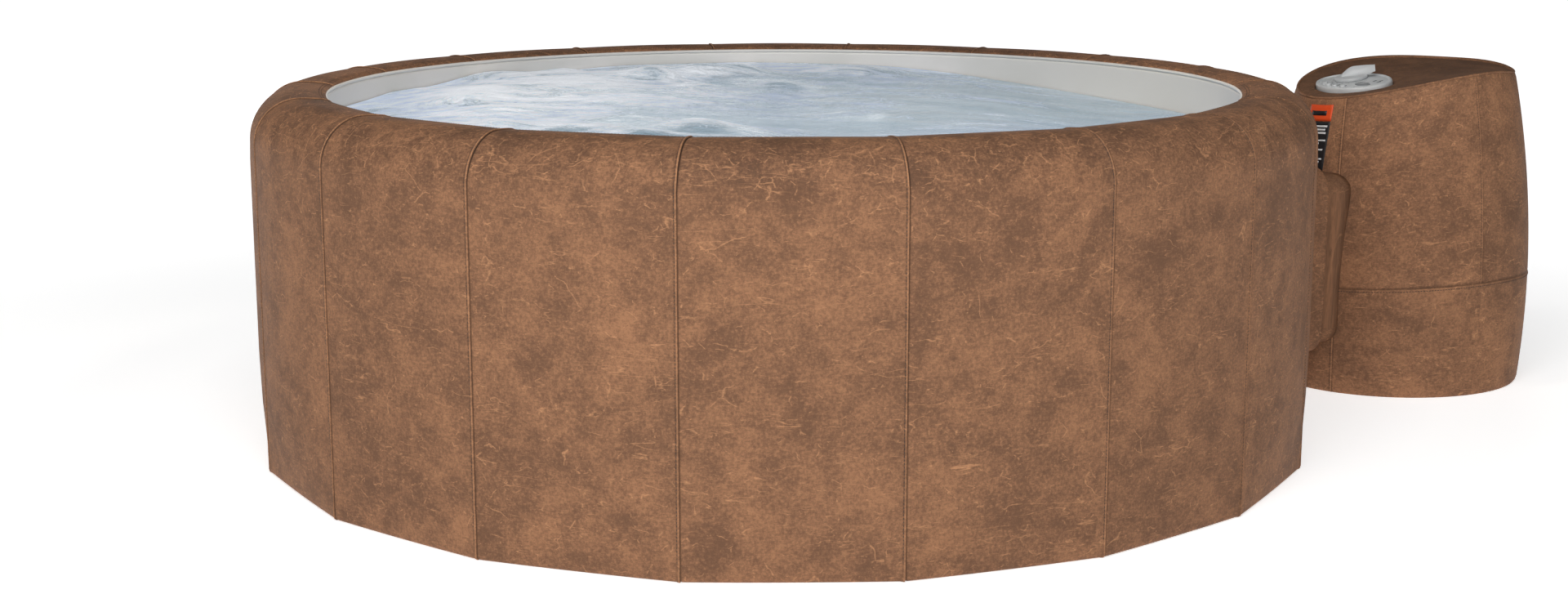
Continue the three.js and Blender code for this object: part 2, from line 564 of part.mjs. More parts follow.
// ---------------------------------------------------------------- assembly
piece(tub, 'ground_sheet', turned(rod(TUB_RADIUS - FOOT_INSET, 0, SKIN - GAP), RING), brownVinyl);
piece(tub, 'floor_foam', turned(rod(BASIN_RADIUS + 4, SKIN, SKIN + FLOOR_FOAM), RING), foam);
piece(tub, 'wall_foam', makeWallFoam(), foam);
piece(tub, 'liner', makeLiner(), creamVinyl);
piece(tub, 'tub_jacket', makeJacket(), brownVinyl);
const beadSection = around(6, (a) => [BASIN_RADIUS + 1 + 4.5 * Math.cos(a), TUB_HEIGHT - 18 + 4.5 * Math.sin(a)]);
piece(tub, 'rim_bead', turned([...beadSection, beadSection[0]], RING), creamVinyl);
piece(tub, 'jet_manifold', makeManifold(), whitePlastic);
JET_ANGLES.forEach((angle, i) => addJet(angle, i + 1));
addWallFitting('suction_fitting', SUCTION_Z, 760, 42);
addWallFitting('return_fitting', RETURN_Z, 869, 27);
addFilter();
addDrain();
addPackShell();
piece(pack, 'hose_sleeve', makeSleeve(), brownVinyl);
addPump();
addHoses();
addControls();
addElectrics();

export default tub;
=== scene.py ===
"""Looks for the soft-sided hot tub: sewn vinyl skins, liner, control panel, label and fittings.

Lengths are in metres. Angles run from +X towards +Y. Every place comes from the frame's boxes or from the
dimensions below.
"""

import json
from math import atan, atan2, cos, degrees, exp, hypot, pi, radians, sin, sqrt

import bmesh
import bpy
import numpy as np
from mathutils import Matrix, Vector


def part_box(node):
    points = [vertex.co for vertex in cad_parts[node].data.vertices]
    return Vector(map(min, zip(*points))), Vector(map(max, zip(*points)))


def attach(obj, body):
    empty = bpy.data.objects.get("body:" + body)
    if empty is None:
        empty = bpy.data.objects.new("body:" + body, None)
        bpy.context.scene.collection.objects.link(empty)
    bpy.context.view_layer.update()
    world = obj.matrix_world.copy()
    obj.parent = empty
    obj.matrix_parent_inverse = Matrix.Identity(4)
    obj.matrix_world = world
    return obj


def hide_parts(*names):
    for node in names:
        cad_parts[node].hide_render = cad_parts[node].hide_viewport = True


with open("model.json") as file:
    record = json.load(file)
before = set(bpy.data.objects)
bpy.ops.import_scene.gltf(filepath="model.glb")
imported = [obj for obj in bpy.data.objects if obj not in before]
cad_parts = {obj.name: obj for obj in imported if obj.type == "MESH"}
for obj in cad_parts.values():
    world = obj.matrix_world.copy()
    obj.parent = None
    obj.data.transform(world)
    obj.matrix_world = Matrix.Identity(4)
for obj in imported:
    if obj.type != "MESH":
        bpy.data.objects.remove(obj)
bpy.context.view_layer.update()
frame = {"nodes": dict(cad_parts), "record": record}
rng = np.random.default_rng(7)

# ---- driving dimensions
TUB_R, _, TUB_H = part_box("tub_jacket")[1]
PANELS = 18
PANEL = 2 * pi / PANELS
FIRST_SEAM = radians(0.8)
CORNER_R = 0.073                  # rounding of the wall's outer top corner
CREST_R = TUB_R - CORNER_R
CROWN = 0.0012                    # how far a panel's middle stands out
BASIN_R = 0.775

PACK_ANGLE = radians(19.77)
PACK_DISTANCE = 1.265
PACK_BASE = (0.244, 0.227)
PACK_BELT = (0.251, 0.238)
PACK_RIM = (0.207, 0.19)
BELT_SHARE = 0.36                 # shares run from 0 at the floor to 1 at the rim
PACK_MEAN_R = 0.235               # makes an angle round the pack a length across its jacket
PACK_H = 0.58                     # mean height of the rim
PACK_NEAR_H = 0.56                # height of the rim on the tub's side
TOP_CREST = (0.295, 0.5985)       # the pack's top falls away from here, towards the tub
TOP_FALL = 0.21
TOP_DISH = 0.4
PANEL_MIDDLE = (-0.108, 0.008)
PANEL_HALF = (0.062, 0.088)
DIAL = (0.008, 0.02)
DIAL_TURN = radians(-35)
DIAL_R = 0.031
BUTTONS = ((-0.04, 0.036), (-0.046, 0.015), (-0.047, -0.006), (-0.043, -0.027))
BUTTON_R = 0.0057
WINDOW = (-0.01, -0.044)
WINDOW_HALF = (0.0112, 0.0192)

JET_ANGLES = (-9.2, 5.8, 35.8, 50.8)     # degrees
JET_Z = 0.34
LINE_ANGLE = 20.8
SUCTION_Z = 0.15
DRAIN_ANGLE = 110.8
DRAIN_Z = 0.062
GLAND_Z = 0.07
FOOT_INSET = 0.018                # foam and ground sheet, inside the jacket at the floor

WATER_Z = 0.569
STITCH = 0.0036                   # length of one stitch
STITCH_STEP = 0.0052
STITCH_ACROSS = -0.0039           # from a seam's fold line to the stitches beside it
STITCH_LIFT = 0.0001
THREAD = 0.0008
PIPING_R = 0.0024
TOP_PAINTED_SHADE = -0.52                 # painted shade: how much darker the flat top is coloured, as an edge value

VINYL_MID = (0.252, 0.13, 0.074)
VINYL_DARK = (0.155, 0.083, 0.051)
VINYL_LIGHT = (0.43, 0.213, 0.112)
VINYL_RUBBED_AND_HIGHLIGHT = (0.6, 0.305, 0.155)
VINYL_PORES_AND_SHADE = (0.055, 0.032, 0.022)

WATER_GLOW = 0.26                 # painted glow: emission standing in for the light that the aerated water scatters back
FLOOR_GLOW = 0.64
FLOOR_REACH = 22.0
HORIZON_LIGHT = 0.26
CEILING_LIGHT = 0.1
SIDE_LIGHT = 0.15                 # share of the horizon light that comes from straight left or right

CAMERA_AT = (0.0, -3.8105, 0.9728)
CAMERA_PITCH = radians(11.247)
CAMERA_LENS = 50.7


# ---- node helpers
class Nodes:
    """A short way to write a node tree: each call adds a node and returns the socket that it makes."""

    def __init__(self, name, owners=bpy.data.materials, shader="Principled BSDF"):
        self.owner = owners.new(name)
        self.owner.use_nodes = True
        self.tree = self.owner.node_tree
        self.shader = self.tree.nodes[shader]
        self.place = self.add("TexCoord", (), "Object")

    def put(self, socket, value):
        if isinstance(value, bpy.types.NodeSocket):
            self.tree.links.new(value, socket)
        elif isinstance(value, (tuple, list)) and len(value) == 3 and socket.type == "RGBA":
            socket.default_value = (*value, 1.0)
        else:
            socket.default_value = value

    def set(self, **values):
        for name, value in values.items():
            self.put(self.shader.inputs[name.replace("_", " ")], value)

    def add(self, kind, inputs, out=0, **settings):
        """Adds a node, feeds its inputs in order or by a dict's keys, and returns one of its outputs."""
        node = self.tree.nodes.new("ShaderNode" + kind)
        for name, value in settings.items():
            setattr(node, name, value)
        for key, value in inputs.items() if isinstance(inputs, dict) else enumerate(inputs):
            self.put(node.inputs[key], value)
        return node.outputs[out]

    def math(self, kind, a, b=0.0, c=0.0, clamp=False):
        return self.add("Math", (a, b, c), operation=kind, use_clamp=clamp)

    def times(self, a, b, plus=0.0, clamp=False):
        return self.math("MULTIPLY_ADD", a, b, plus, clamp)

    def attribute(self, name, output="Vector"):
        return self.add("Attribute", (), output, attribute_name=name)

    def turned(self, place, angles, scale=(1, 1, 1)):
        return self.add("Mapping", {"Vector": place, "Rotation": angles, "Scale": scale})

    def noise(self, place, scale, detail=4.0, rough=0.55, bend=0.0, out="Fac"):
        inputs = {"Vector": place, "Scale": scale, "Detail": detail, "Roughness": rough, "Distortion": bend}
        return self.add("TexNoise", inputs, out)

    def cells(self, place, scale, feature="F1"):
        return self.add("TexVoronoi", {"Vector": place, "Scale": scale}, "Distance", feature=feature)

    def span(self, value, low, high, to_low=0.0, to_high=1.0):
        return self.add("MapRange", (value, low, high, to_low, to_high), interpolation_type="SMOOTHSTEP")

    def ramp(self, value, *stops):
        node = self.add("ValToRGB", (value,)).node
        for mark, (where, colour) in zip(node.color_ramp.elements, stops, strict=True):
            mark.position = where
            mark.color = (*colour, 1.0)
        return node.outputs[0]

    def mix(self, share, a, b):
        return self.add("Mix", {0: share, 6: a, 7: b}, 2, data_type="RGBA")

    def split(self, place):
        return self.add("SeparateXYZ", (place,)).node.outputs

    def bump(self, height, depth, strength):
        return self.add("Bump", {"Height": height, "Distance": depth, "Strength": strength})


# ---- materials
def strokes(n, sheet, angle, length, spacing, width, keep):
    """Thin wavy lines in one direction: a stretched noise crossing its middle, kept in scattered patches."""
    long_way = n.turned(sheet, (0, 0, angle), (1 / length, 1 / spacing, 3.0))
    line = n.math("ABSOLUTE", n.math("SUBTRACT", n.noise(long_way, 1.0, 2.0, 0.5, 0.35), 0.5))
    thin = n.span(line, 0.0, width, 1.0, 0.0)
    patches = n.turned(sheet, (0, 0, angle + 0.2), (0.9 / length, 0.35 / spacing, 3.0))
    patch = n.span(n.noise(patches, 1.0, 3.0, 0.6), keep, keep + 0.08)
    return n.times(thin, patch)


def crinkles(n, sheet, scale, width, keep, bend):
    """Broken, branching crease lines: the edges of warped cells, kept in patches and along bends."""
    warp = n.noise(sheet, scale * 1.1, 3.0, 0.5, out="Color")
    push = n.add("VectorMath", {"Vector": warp, "Scale": 0.55 / scale}, operation="SCALE")
    bent = n.turned(n.add("VectorMath", (sheet, push)), (0, 0, 0.1), (0.55, 1.0, 1.0))
    edge = n.cells(bent, scale, "DISTANCE_TO_EDGE")
    thin = n.span(edge, 0.0, width, 1.0, 0.0)
    patch = n.span(n.times(bend, 0.075, n.noise(sheet, scale * 1.9, 3.0, 0.6)), keep, keep + 0.07)
    return n.times(thin, patch)


def make_vinyl():
    """Distressed leather-look vinyl: clouded brown with rubbed flecks, thin wandering creases and grain.

    The pattern runs in the coordinates of the flat roll that each panel was cut from. The edge attribute
    is positive where a folded edge rubs pale, worn and with a painted highlight on seam crests, and negative
    for painted shade in seam folds, on the pack's flat top and in the collar's recess. The bend attribute is
    1 where the sheet is pulled over a rim, so that it creases more and darkens as painted shade on the
    crest.
    """
    n = Nodes("brown_vinyl")
    sheet = n.attribute("roll")
    edge = n.attribute("edge", "Fac")
    bend = n.attribute("bend", "Fac")
    cloud = n.noise(sheet, 6.5, 5.0, 0.6, 0.4)
    blotch = n.noise(n.turned(sheet, (0, 0, 0.3)), 24.0, 6.0, 0.68, 0.5)
    fleck = n.noise(n.turned(sheet, (0, 0, 0.15), (1.0, 0.75, 1.0)), 240.0, 4.0, 0.8, 0.3)
    fibre = n.noise(n.turned(sheet, (0, 0, -0.5), (0.4, 1.3, 1.0)), 300.0, 3.0, 0.75, 0.6)
    fine = n.times(fleck, 0.62, n.times(fibre, 0.38))
    spread = n.times(cloud, 0.8, n.times(blotch, 0.9))
    light = n.span(n.times(fine, 2.3, spread), 1.9, 2.4)
    shade = n.span(n.times(fine, -1.3, n.times(spread, -0.9)), -1.47, -1.16)
    # Painted shade: the colour darkens where the sheet bends over a rim.
    shade = n.times(shade, 0.8, n.times(bend, 0.3), clamp=True)
    colour = n.mix(shade, VINYL_MID, VINYL_DARK)
    colour = n.mix(n.times(light, 0.85), colour, VINYL_LIGHT)
    marks = strokes(n, sheet, 0.1, 0.15, 0.02, 0.011, 0.55)
    for mark in (strokes(n, sheet, -0.7, 0.09, 0.015, 0.014, 0.58),
                 strokes(n, sheet, 0.6, 0.075, 0.014, 0.014, 0.58),
                 crinkles(n, sheet, 17.0, 0.014, 0.54, bend), crinkles(n, sheet, 40.0, 0.03, 0.56, bend)):
        marks = n.math("MAXIMUM", marks, mark)
    marks = n.times(marks, n.span(fibre, 0.3, 0.6, 0.35, 1.0))
    colour = n.mix(n.times(marks, 0.76), colour, VINYL_RUBBED_AND_HIGHLIGHT)
    grain = n.cells(sheet, 620.0, "SMOOTH_F1")
    pores = n.noise(sheet, 1100.0, 2.0)
    colour = n.mix(n.span(pores, 0.3, 0.48, 0.25, 0.0), colour, VINYL_PORES_AND_SHADE)
    # Positive edge values rub pale: wear, with a painted highlight along seam crests.
    rubbed = n.times(n.math("MAXIMUM", edge, 0.0), n.span(fine, 0.35, 0.6, 0.3, 0.8))
    colour = n.mix(rubbed, colour, VINYL_RUBBED_AND_HIGHLIGHT)
    # Negative edge values are painted shade: darker seam folds, the pack's flat top and the collar's recess.
    painted_shade = n.math("MAXIMUM", n.times(edge, -0.85), 0.0)
    colour = n.mix(painted_shade, colour, VINYL_PORES_AND_SHADE)
    height = n.times(grain, 0.5, n.times(pores, 0.35))
    height = n.math("SUBTRACT", n.times(fleck, 0.7, height), n.times(marks, 0.45))
    n.set(Base_Color=colour, Roughness=n.span(fleck, 0.35, 0.7, 0.52, 0.64),
          Specular_IOR_Level=0.04, Normal=n.bump(height, 0.0006, 0.5))
    return n.owner


def look(n, tone, dark, light, roughness, height=None, depth=0.0, strength=0.0, marks=(0.3, 0.7), **more):
    """Finishes a material that one texture runs between two colours and another one roughens."""
    n.set(Base_Color=n.ramp(tone, (marks[0], dark), (marks[1], light)), Roughness=roughness, **more)
    if height is not None:
        n.set(Normal=n.bump(height, depth, strength))
    return n.owner


def make_thread():
    n = Nodes("seam_thread")
    twist = n.noise(n.place, 1400.0, 2.0)
    return look(n, twist, (0.022, 0.017, 0.016), (0.06, 0.042, 0.034), 0.7, twist, 0.0002, 0.6)


def make_liner():
    n = Nodes("cream_vinyl")
    fine = n.cells(n.place, 700.0)
    return look(n, n.noise(n.place, 3.0, 3.0), (0.8, 0.765, 0.715), (0.85, 0.815, 0.765),
                n.span(fine, 0.0, 0.6, 0.36, 0.46), fine, 0.0002, 0.25, Specular_IOR_Level=0.45)


def make_plastic(name, colour, roughness, grain=0.35, spread=0.06):
    n = Nodes(name)
    texture = n.noise(n.place, 1500.0, 3.0, 0.6)
    dark, light = (tuple(min(1.0, c * share) for c in colour) for share in (1 - spread, 1 + spread))
    rough = n.span(texture, 0.3, 0.7, roughness - 0.05, roughness + 0.07)
    return look(n, n.noise(n.place, 18.0, 4.0), dark, light, rough, texture, 0.00012, grain, (0.35, 0.65))


def make_foam():
    n = Nodes("foam")
    return look(n, n.noise(n.place, 12.0, 4.0), (0.66, 0.6, 0.47), (0.76, 0.71, 0.58), 0.9,
                n.cells(n.place, 380.0), 0.0009, 0.7)


def make_steel():
    n = Nodes("steel")
    lines = n.noise(n.turned(n.place, (0, 0, 0), (1.0, 1.0, 40.0)), 60.0, 4.0)
    return look(n, lines, (0.5, 0.51, 0.53), (0.62, 0.63, 0.65), n.span(lines, 0.3, 0.7, 0.26, 0.4),
                lines, 0.0001, 0.3, Metallic=1.0)


def make_paper():
    n = Nodes("filter_paper")
    fibres = n.noise(n.turned(n.place, (0.4, 0.2, 0.0), (1.0, 6.0, 1.0)), 220.0, 5.0, 0.7)
    return look(n, fibres, (0.72, 0.73, 0.71), (0.86, 0.86, 0.83), 0.92, fibres, 0.0004, 0.6)


def make_window():
    n = Nodes("window_plastic")
    smudge = n.noise(n.place, 60.0, 4.0)
    return look(n, smudge, (0.2, 0.215, 0.225), (0.27, 0.285, 0.295), n.span(smudge, 0.3, 0.7, 0.08, 0.16))


def make_ink(name, colour):
    n = Nodes(name)
    wear = n.noise(n.place, 700.0, 4.0)
    light = tuple(min(1.0, c * 1.15 + 0.01) for c in colour)
    return look(n, wear, colour, light, n.span(wear, 0.3, 0.7, 0.38, 0.5), marks=(0.35, 0.75))


VINYL = make_vinyl()
THREAD_DARK = make_thread()
LINER = make_liner()
GREY = make_plastic("grey_plastic", (0.64, 0.66, 0.67), 0.38)
# Painted shade: a darker copy of the grey plastic, for the dial and the buttons.
GREY_SHADED = make_plastic("grey_plastic_shaded", (0.58, 0.6, 0.61), 0.36)
WHITE = make_plastic("white_plastic", (0.7, 0.7, 0.67), 0.3)
BLACK = make_plastic("black_plastic", (0.022, 0.023, 0.025), 0.45, 0.6, 0.15)
RUBBER = make_plastic("hose_rubber", (0.034, 0.036, 0.038), 0.62, 0.8, 0.12)
PAINT = make_plastic("motor_paint", (0.036, 0.042, 0.05), 0.38, 0.5, 0.12)
BOARD = make_plastic("board", (0.03, 0.14, 0.06), 0.4, 0.3, 0.15)
FOAM = make_foam()
STEEL = make_steel()
PAPER = make_paper()
WINDOW_DARK = make_window()
LABEL_RED = make_ink("label_red", (0.72, 0.075, 0.012))
LABEL_BLACK = make_ink("label_black", (0.01, 0.01, 0.012))
LABEL_WHITE = make_ink("label_white", (0.62, 0.63, 0.64))
PRINT = make_ink("panel_print", (0.035, 0.04, 0.055))

# The materials that take each of the record's slots. The first of them dresses the CAD nodes.
SLOT_LOOKS = {
    "brown_vinyl": (VINYL, THREAD_DARK, LABEL_RED), "cream_vinyl": (LINER,), "foam": (FOAM,),
    "grey_plastic": (GREY, GREY_SHADED), "white_plastic": (WHITE, LABEL_WHITE),
    "black_plastic": (BLACK, LABEL_BLACK, PRINT), "hose_rubber": (RUBBER,), "steel": (STEEL,),
    "motor_paint": (PAINT,), "filter_paper": (PAPER,), "window_plastic": (WINDOW_DARK,), "board": (BOARD,),
}
SLOT_OF = {material.name: slot for slot, looks in SLOT_LOOKS.items() for material in looks}


# ---- mesh helpers
def add_object(name, data):
    item = bpy.data.objects.new(name, data)
    bpy.context.scene.collection.objects.link(item)
    return item


def new_piece(name, points, faces, material, body="tub", replaces=None, closed=True):
    """A mesh that rides on a body of the frame, or a piece of the stage where body is None."""
    mesh = bpy.data.meshes.new(name)
    mesh.from_pydata([tuple(p) for p in points], [], [tuple(int(i) for i in f) for f in faces])
    mesh.update()
    if closed:
        shape = bmesh.new()
        shape.from_mesh(mesh)
        bmesh.ops.recalc_face_normals(shape, faces=shape.faces)
        shape.to_mesh(mesh)
        shape.free()
    piece = add_object(name, mesh)
    mesh.materials.append(material)
    mesh.polygons.foreach_set("use_smooth", [True] * len(mesh.polygons))
    if body:
        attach(piece, body)
    if replaces:
        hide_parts(replaces)
    return piece


def grid_faces(rows, columns, wraps_rows=False, wraps_columns=False):
    """Quads over a grid whose points run row by row."""
    i, j = np.meshgrid(np.arange(rows if wraps_rows else rows - 1),
                       np.arange(columns if wraps_columns else columns - 1), indexing="ij")
    i, j = i.ravel(), j.ravel()
    up, right = (i + 1) % rows, (j + 1) % columns
    return np.stack([i * columns + j, i * columns + right, up * columns + right, up * columns + j], 1)


def lay_pattern(piece, flat, panel_of_face=None, wrap=0.0):
    """Gives each corner its place on the flat roll: across, along, and a step aside for each panel.

    Where a panel's last face reaches the next panel's first points, wrap is the width to add to them.
    """
    mesh = piece.data
    loops = np.zeros(len(mesh.loops), int)
    mesh.loops.foreach_get("vertex_index", loops)
    sizes = [len(p.vertices) for p in mesh.polygons]
    face_of_loop = np.repeat(np.arange(len(sizes)), sizes)
    if panel_of_face is None:
        panel_of_face = np.zeros(len(sizes), int)
    across, along = np.asarray(flat)[loops].T
    if wrap:
        widest = np.full(len(sizes), -np.inf)
        np.maximum.at(widest, face_of_loop, across)
        across = np.where(widest[face_of_loop] - across > wrap / 2, across + wrap, across)
    shifts = rng.uniform(-4.0, 4.0, (int(panel_of_face.max()) + 1, 3))[panel_of_face][face_of_loop]
    roll = np.stack([across, along, np.zeros_like(across)], 1) + shifts
    layer = mesh.attributes.new("roll", "FLOAT_VECTOR", "CORNER")
    layer.data.foreach_set("vector", roll.astype(np.float32).ravel())


def mark_points(piece, name, values):
    """Gives each point of a vinyl piece its edge or bend value, which make_vinyl explains."""
    layer = piece.data.attributes.new(name, "FLOAT", "POINT")
    layer.data.foreach_set("value", np.asarray(values, np.float32))


def around(count):
    """Evenly spaced angles of a full turn."""
    return np.linspace(0, 2 * pi, count, endpoint=False)


def mm(*pairs):
    return [(a / 1000, b / 1000) for a, b in pairs]


def arc(centre, radius, start, stop, count):
    angles = np.radians(np.linspace(start, stop, count))
    return [(centre[0] + radius * cos(a), centre[1] + radius * sin(a)) for a in angles]


STITCH_RING = np.array([(0.0, 1.0), (0.9, 0.0), (0.0, -0.8), (-0.9, 0.0)])


def stitch_run(path, normals):
    """Short rounded thread dashes laid along a path on a surface: returns points and faces."""
    path, normals = np.asarray(path), np.asarray(normals)
    along = along_path(path)
    stitch_faces = capped(3, len(STITCH_RING))
    points, faces = [], []
    for k in range(int((along[-1] - STITCH) / STITCH_STEP)):
        start = k * STITCH_STEP + 0.5 * (STITCH_STEP - STITCH)
        where = start + STITCH * np.array([0.0, 0.5, 1.0])
        spine = np.stack([np.interp(where, along, path[:, c]) for c in range(3)], 1)
        up = np.array([np.interp(where[1], along, normals[:, c]) for c in range(3)])
        up /= np.linalg.norm(up)
        ahead = spine[2] - spine[0]
        ahead /= np.linalg.norm(ahead)
        side = np.cross(ahead, up)
        faces.extend(tuple(i + len(points) for i in face) for face in stitch_faces)
        for place, size in zip(spine, (0.3, 1.0, 0.3)):
            lift = up * THREAD * 0.5 * (size - 0.4)
            points.extend(place + lift + (side * x + up * y) * THREAD * size for x, y in STITCH_RING)
    return points, faces


def along_path(path):
    """Each point's distance from the first, along the path."""
    return np.concatenate([[0.0], np.cumsum(np.linalg.norm(np.diff(path, axis=0), axis=1))])


def join_runs(runs):
    """One mesh's points and faces from several."""
    points, faces = [], []
    for run_points, run_faces in runs:
        faces.extend(tuple(i + len(points) for i in face) for face in run_faces)
        points.extend(run_points)
    return points, faces


def capped(rows, columns):
    """The faces of a tube whose two ends are closed flat."""
    sides = [tuple(f) for f in grid_faces(rows, columns, False, True)]
    return [*sides, tuple(reversed(range(columns))), tuple(range((rows - 1) * columns, rows * columns))]


def rings(profile, segments, place, half=(1, 1)):
    """Stacked rings of (radius, height) about a local axis that place() carries into the frame."""
    return [place(half[0] * r * cos(a), half[1] * r * sin(a), z)
            for r, z in profile for a in around(segments)]


def revolve(name, profile, segments, material, place, body="tub", replaces=None, wraps=True):
    """A turned piece, whose profile is a closed loop if wraps and otherwise ends in two flat caps."""
    points = rings(profile, segments, place)
    faces = grid_faces(len(profile), segments, True, True) if wraps else capped(len(profile), segments)
    return new_piece(name, points, faces, material, body, replaces)


# ---- the tub's jacket
# A flat-felled seam, in mm across from its fold line: its height over the panel, and its edge values: wear
# with a painted highlight on the crest, painted shade in the fold.
RIDGE_AT = np.array([-12, -7, -5.4, -4.9, -4.4, -3.9, -3.4, -2.2, -1.0, -0.3, 0.2, 1.0, 2.6, 6, 12]) / 1000
RIDGE_UP = np.array([0, 0.05, 0.2, 0.7, 0.6, 0.35, 0.8, 1.25, 1.2, 0.5, -0.9, -0.7, -0.1, 0, 0]) / 1000
RIDGE_WEAR_HIGHLIGHT_SHADE = np.array([0, 0, -0.15, 0.0, -0.2, -0.5, 0.0, 0.25, 0.6, 0.0, -1.0, -0.55, 0, 0, 0])
PANEL_COLUMNS = 13


def wall_profile():
    """Radius and height from the floor up the wall, over the rim and down to the jacket's inner edge."""
    foot = [(TUB_R - 0.01, 0.0006), (TUB_R - 0.004, 0.0008), (TUB_R - 0.001, 0.003), (TUB_R, 0.007)]
    wall = [(TUB_R, z) for z in np.linspace(0.016, TUB_H - CORNER_R - 0.01, 46)]
    corner = arc((CREST_R, TUB_H - CORNER_R), CORNER_R, 0, 90, 15)
    inner = mm((817.5, 609.75), (808, 609.3), (800, 608.7), (794, 608.1), (788, 607.3), (783.5, 606.3),
               (779.5, 605), (776.5, 603.2), (775.2, 601.2), (775.5, 599))
    return np.array(foot + wall + corner + inner)


PROFILE = wall_profile()
PROFILE_LENGTH = along_path(PROFILE)
PROFILE_NORMAL = np.gradient(PROFILE, axis=0)[:, ::-1] * (1, -1)
PROFILE_NORMAL /= np.linalg.norm(PROFILE_NORMAL, axis=1)[:, None]
HEMS = (0.784, 0.79)              # radii of the two stitched hem lines beside the inner edge


def flatness(z, r):
    """How far the panels are pulled flat between seams: fully at the floor and partly over the rim."""
    foot = np.interp(z, (0.0, 0.03, 0.1, 0.18), (1.0, 0.62, 0.16, 0.0))
    over = np.interp(z, (0.5, 0.6), (0.0, 0.3)) * np.interp(r, (0.775, 0.8), (0.0, 1.0))
    return np.maximum(foot, over)


def pulled(r, z, offset):
    """The radius at a place across a panel, and that place's angle from the panel's middle."""
    from_middle = (offset / TUB_R) % PANEL - PANEL / 2
    return r * (1 + flatness(z, r) * (cos(PANEL / 2) / cos(from_middle) - 1)), from_middle


def from_seam(seam, offset, radius, z):
    """A point in the frame, an offset round the tub from one of its seams."""
    angle = FIRST_SEAM + seam * PANEL + offset / TUB_R
    return (radius * cos(angle), radius * sin(angle), z)


def on_jacket(seam, offset, row, lift=0.0):
    """A point on the jacket, at one distance across from a seam's fold line and one row of the profile."""
    r, z = PROFILE[row]
    normal = PROFILE_NORMAL[row]
    radius, from_middle = pulled(r, z, offset)
    nearest = offset if offset < 0.5 * PANEL * TUB_R else offset - PANEL * TUB_R
    height = np.interp(nearest, RIDGE_AT, RIDGE_UP)
    over_top = np.interp(row, (50, 60, len(PROFILE) - 6, len(PROFILE) - 1), (1.0, 1.6, 1.4, 0.6))
    out = height * over_top + CROWN * cos(from_middle / PANEL * pi) + lift
    if r < HEMS[1] + 0.01 and z > 0.5:
        groove = min(abs(r - h) for h in HEMS)
        out -= 0.0005 * max(0.0, 1 - groove / 0.0022)
    return from_seam(seam, offset, radius + out * normal[0], z + out * normal[1])


def make_tub_jacket():
    width = PANEL * TUB_R
    inner_columns = np.linspace(RIDGE_AT[-1], width + RIDGE_AT[0], PANEL_COLUMNS + 2)[1:-1]
    ahead = RIDGE_AT[RIDGE_AT > 0]
    behind = RIDGE_AT[RIDGE_AT <= 0]
    offsets = np.concatenate([ahead, inner_columns, width + behind])
    columns = [(seam, offset) for seam in range(PANELS) for offset in offsets]
    rows = len(PROFILE)
    points = [on_jacket(seam, offset, row) for row in range(rows) for seam, offset in columns]
    # The hidden inner face, a vinyl's thickness inside, closes the skin.
    back = [(TUB_R - 0.004, 0.004), (TUB_R - 0.004, 0.3), (TUB_R - 0.004, TUB_H - CORNER_R),
            *arc((CREST_R, TUB_H - CORNER_R), CORNER_R - 0.003, 10, 90, 5), (0.8, 0.605), (0.786, 0.6035),
            (0.7785, 0.599)]
    points += [from_seam(seam, offset, pulled(r, z, offset)[0], z)
               for r, z in back for seam, offset in columns]
    count = len(columns)
    outer = grid_faces(rows, count, False, True)
    inner = grid_faces(len(back), count, False, True)[:, ::-1] + rows * count
    j = np.arange(count)
    k = (j + 1) % count
    top, back_top = (rows - 1) * count, (rows + len(back) - 1) * count
    foot = np.stack([k, j, rows * count + j, rows * count + k], 1)
    lip = np.stack([top + j, top + k, back_top + k, back_top + j], 1)
    faces = np.concatenate([outer, inner, foot, lip])
    jacket = new_piece("tub_jacket_sewn", points, faces, VINYL, replaces="tub_jacket")
    # A face belongs to the panel that its first column starts in, and the panels narrow with the radius.
    radii = np.concatenate([PROFILE[:, 0], [r for r, z in back]])
    lengths = np.concatenate([PROFILE_LENGTH, np.linspace(0, PROFILE_LENGTH[-1], len(back))])
    across = np.array([offset for seam, offset in columns])
    flat = [(0.5 * width + (x - 0.5 * width) * r / TUB_R, t) for r, t in zip(radii, lengths) for x in across]
    nearest = np.where(across < 0.5 * width, across, across - width)
    # Edge values across each panel: wear with a painted highlight on seam crests and painted shade in folds.
    wear = np.tile(np.interp(nearest, RIDGE_AT, RIDGE_WEAR_HIGHLIGHT_SHADE), (len(radii), 1))
    wear[rows:] = 0.0
    heights = np.array([v.co.z for v in jacket.data.vertices])
    # bend creases the vinyl and darkens its colour as painted shade on the rim's crest.
    bend = np.interp(heights, (TUB_H - 0.085, TUB_H - 0.03), (0.0, 1.0))
    mark_points(jacket, "bend", bend)
    # Over the rim the edge values grow: stronger painted highlights and painted shade on the seams there.
    mark_points(jacket, "edge", wear.ravel() * (1.0 + 0.8 * bend))
    first = np.concatenate([np.tile(j, rows - 1), np.tile(k, len(back) - 1), j, j])
    lay_pattern(jacket, flat, first // len(offsets), width)


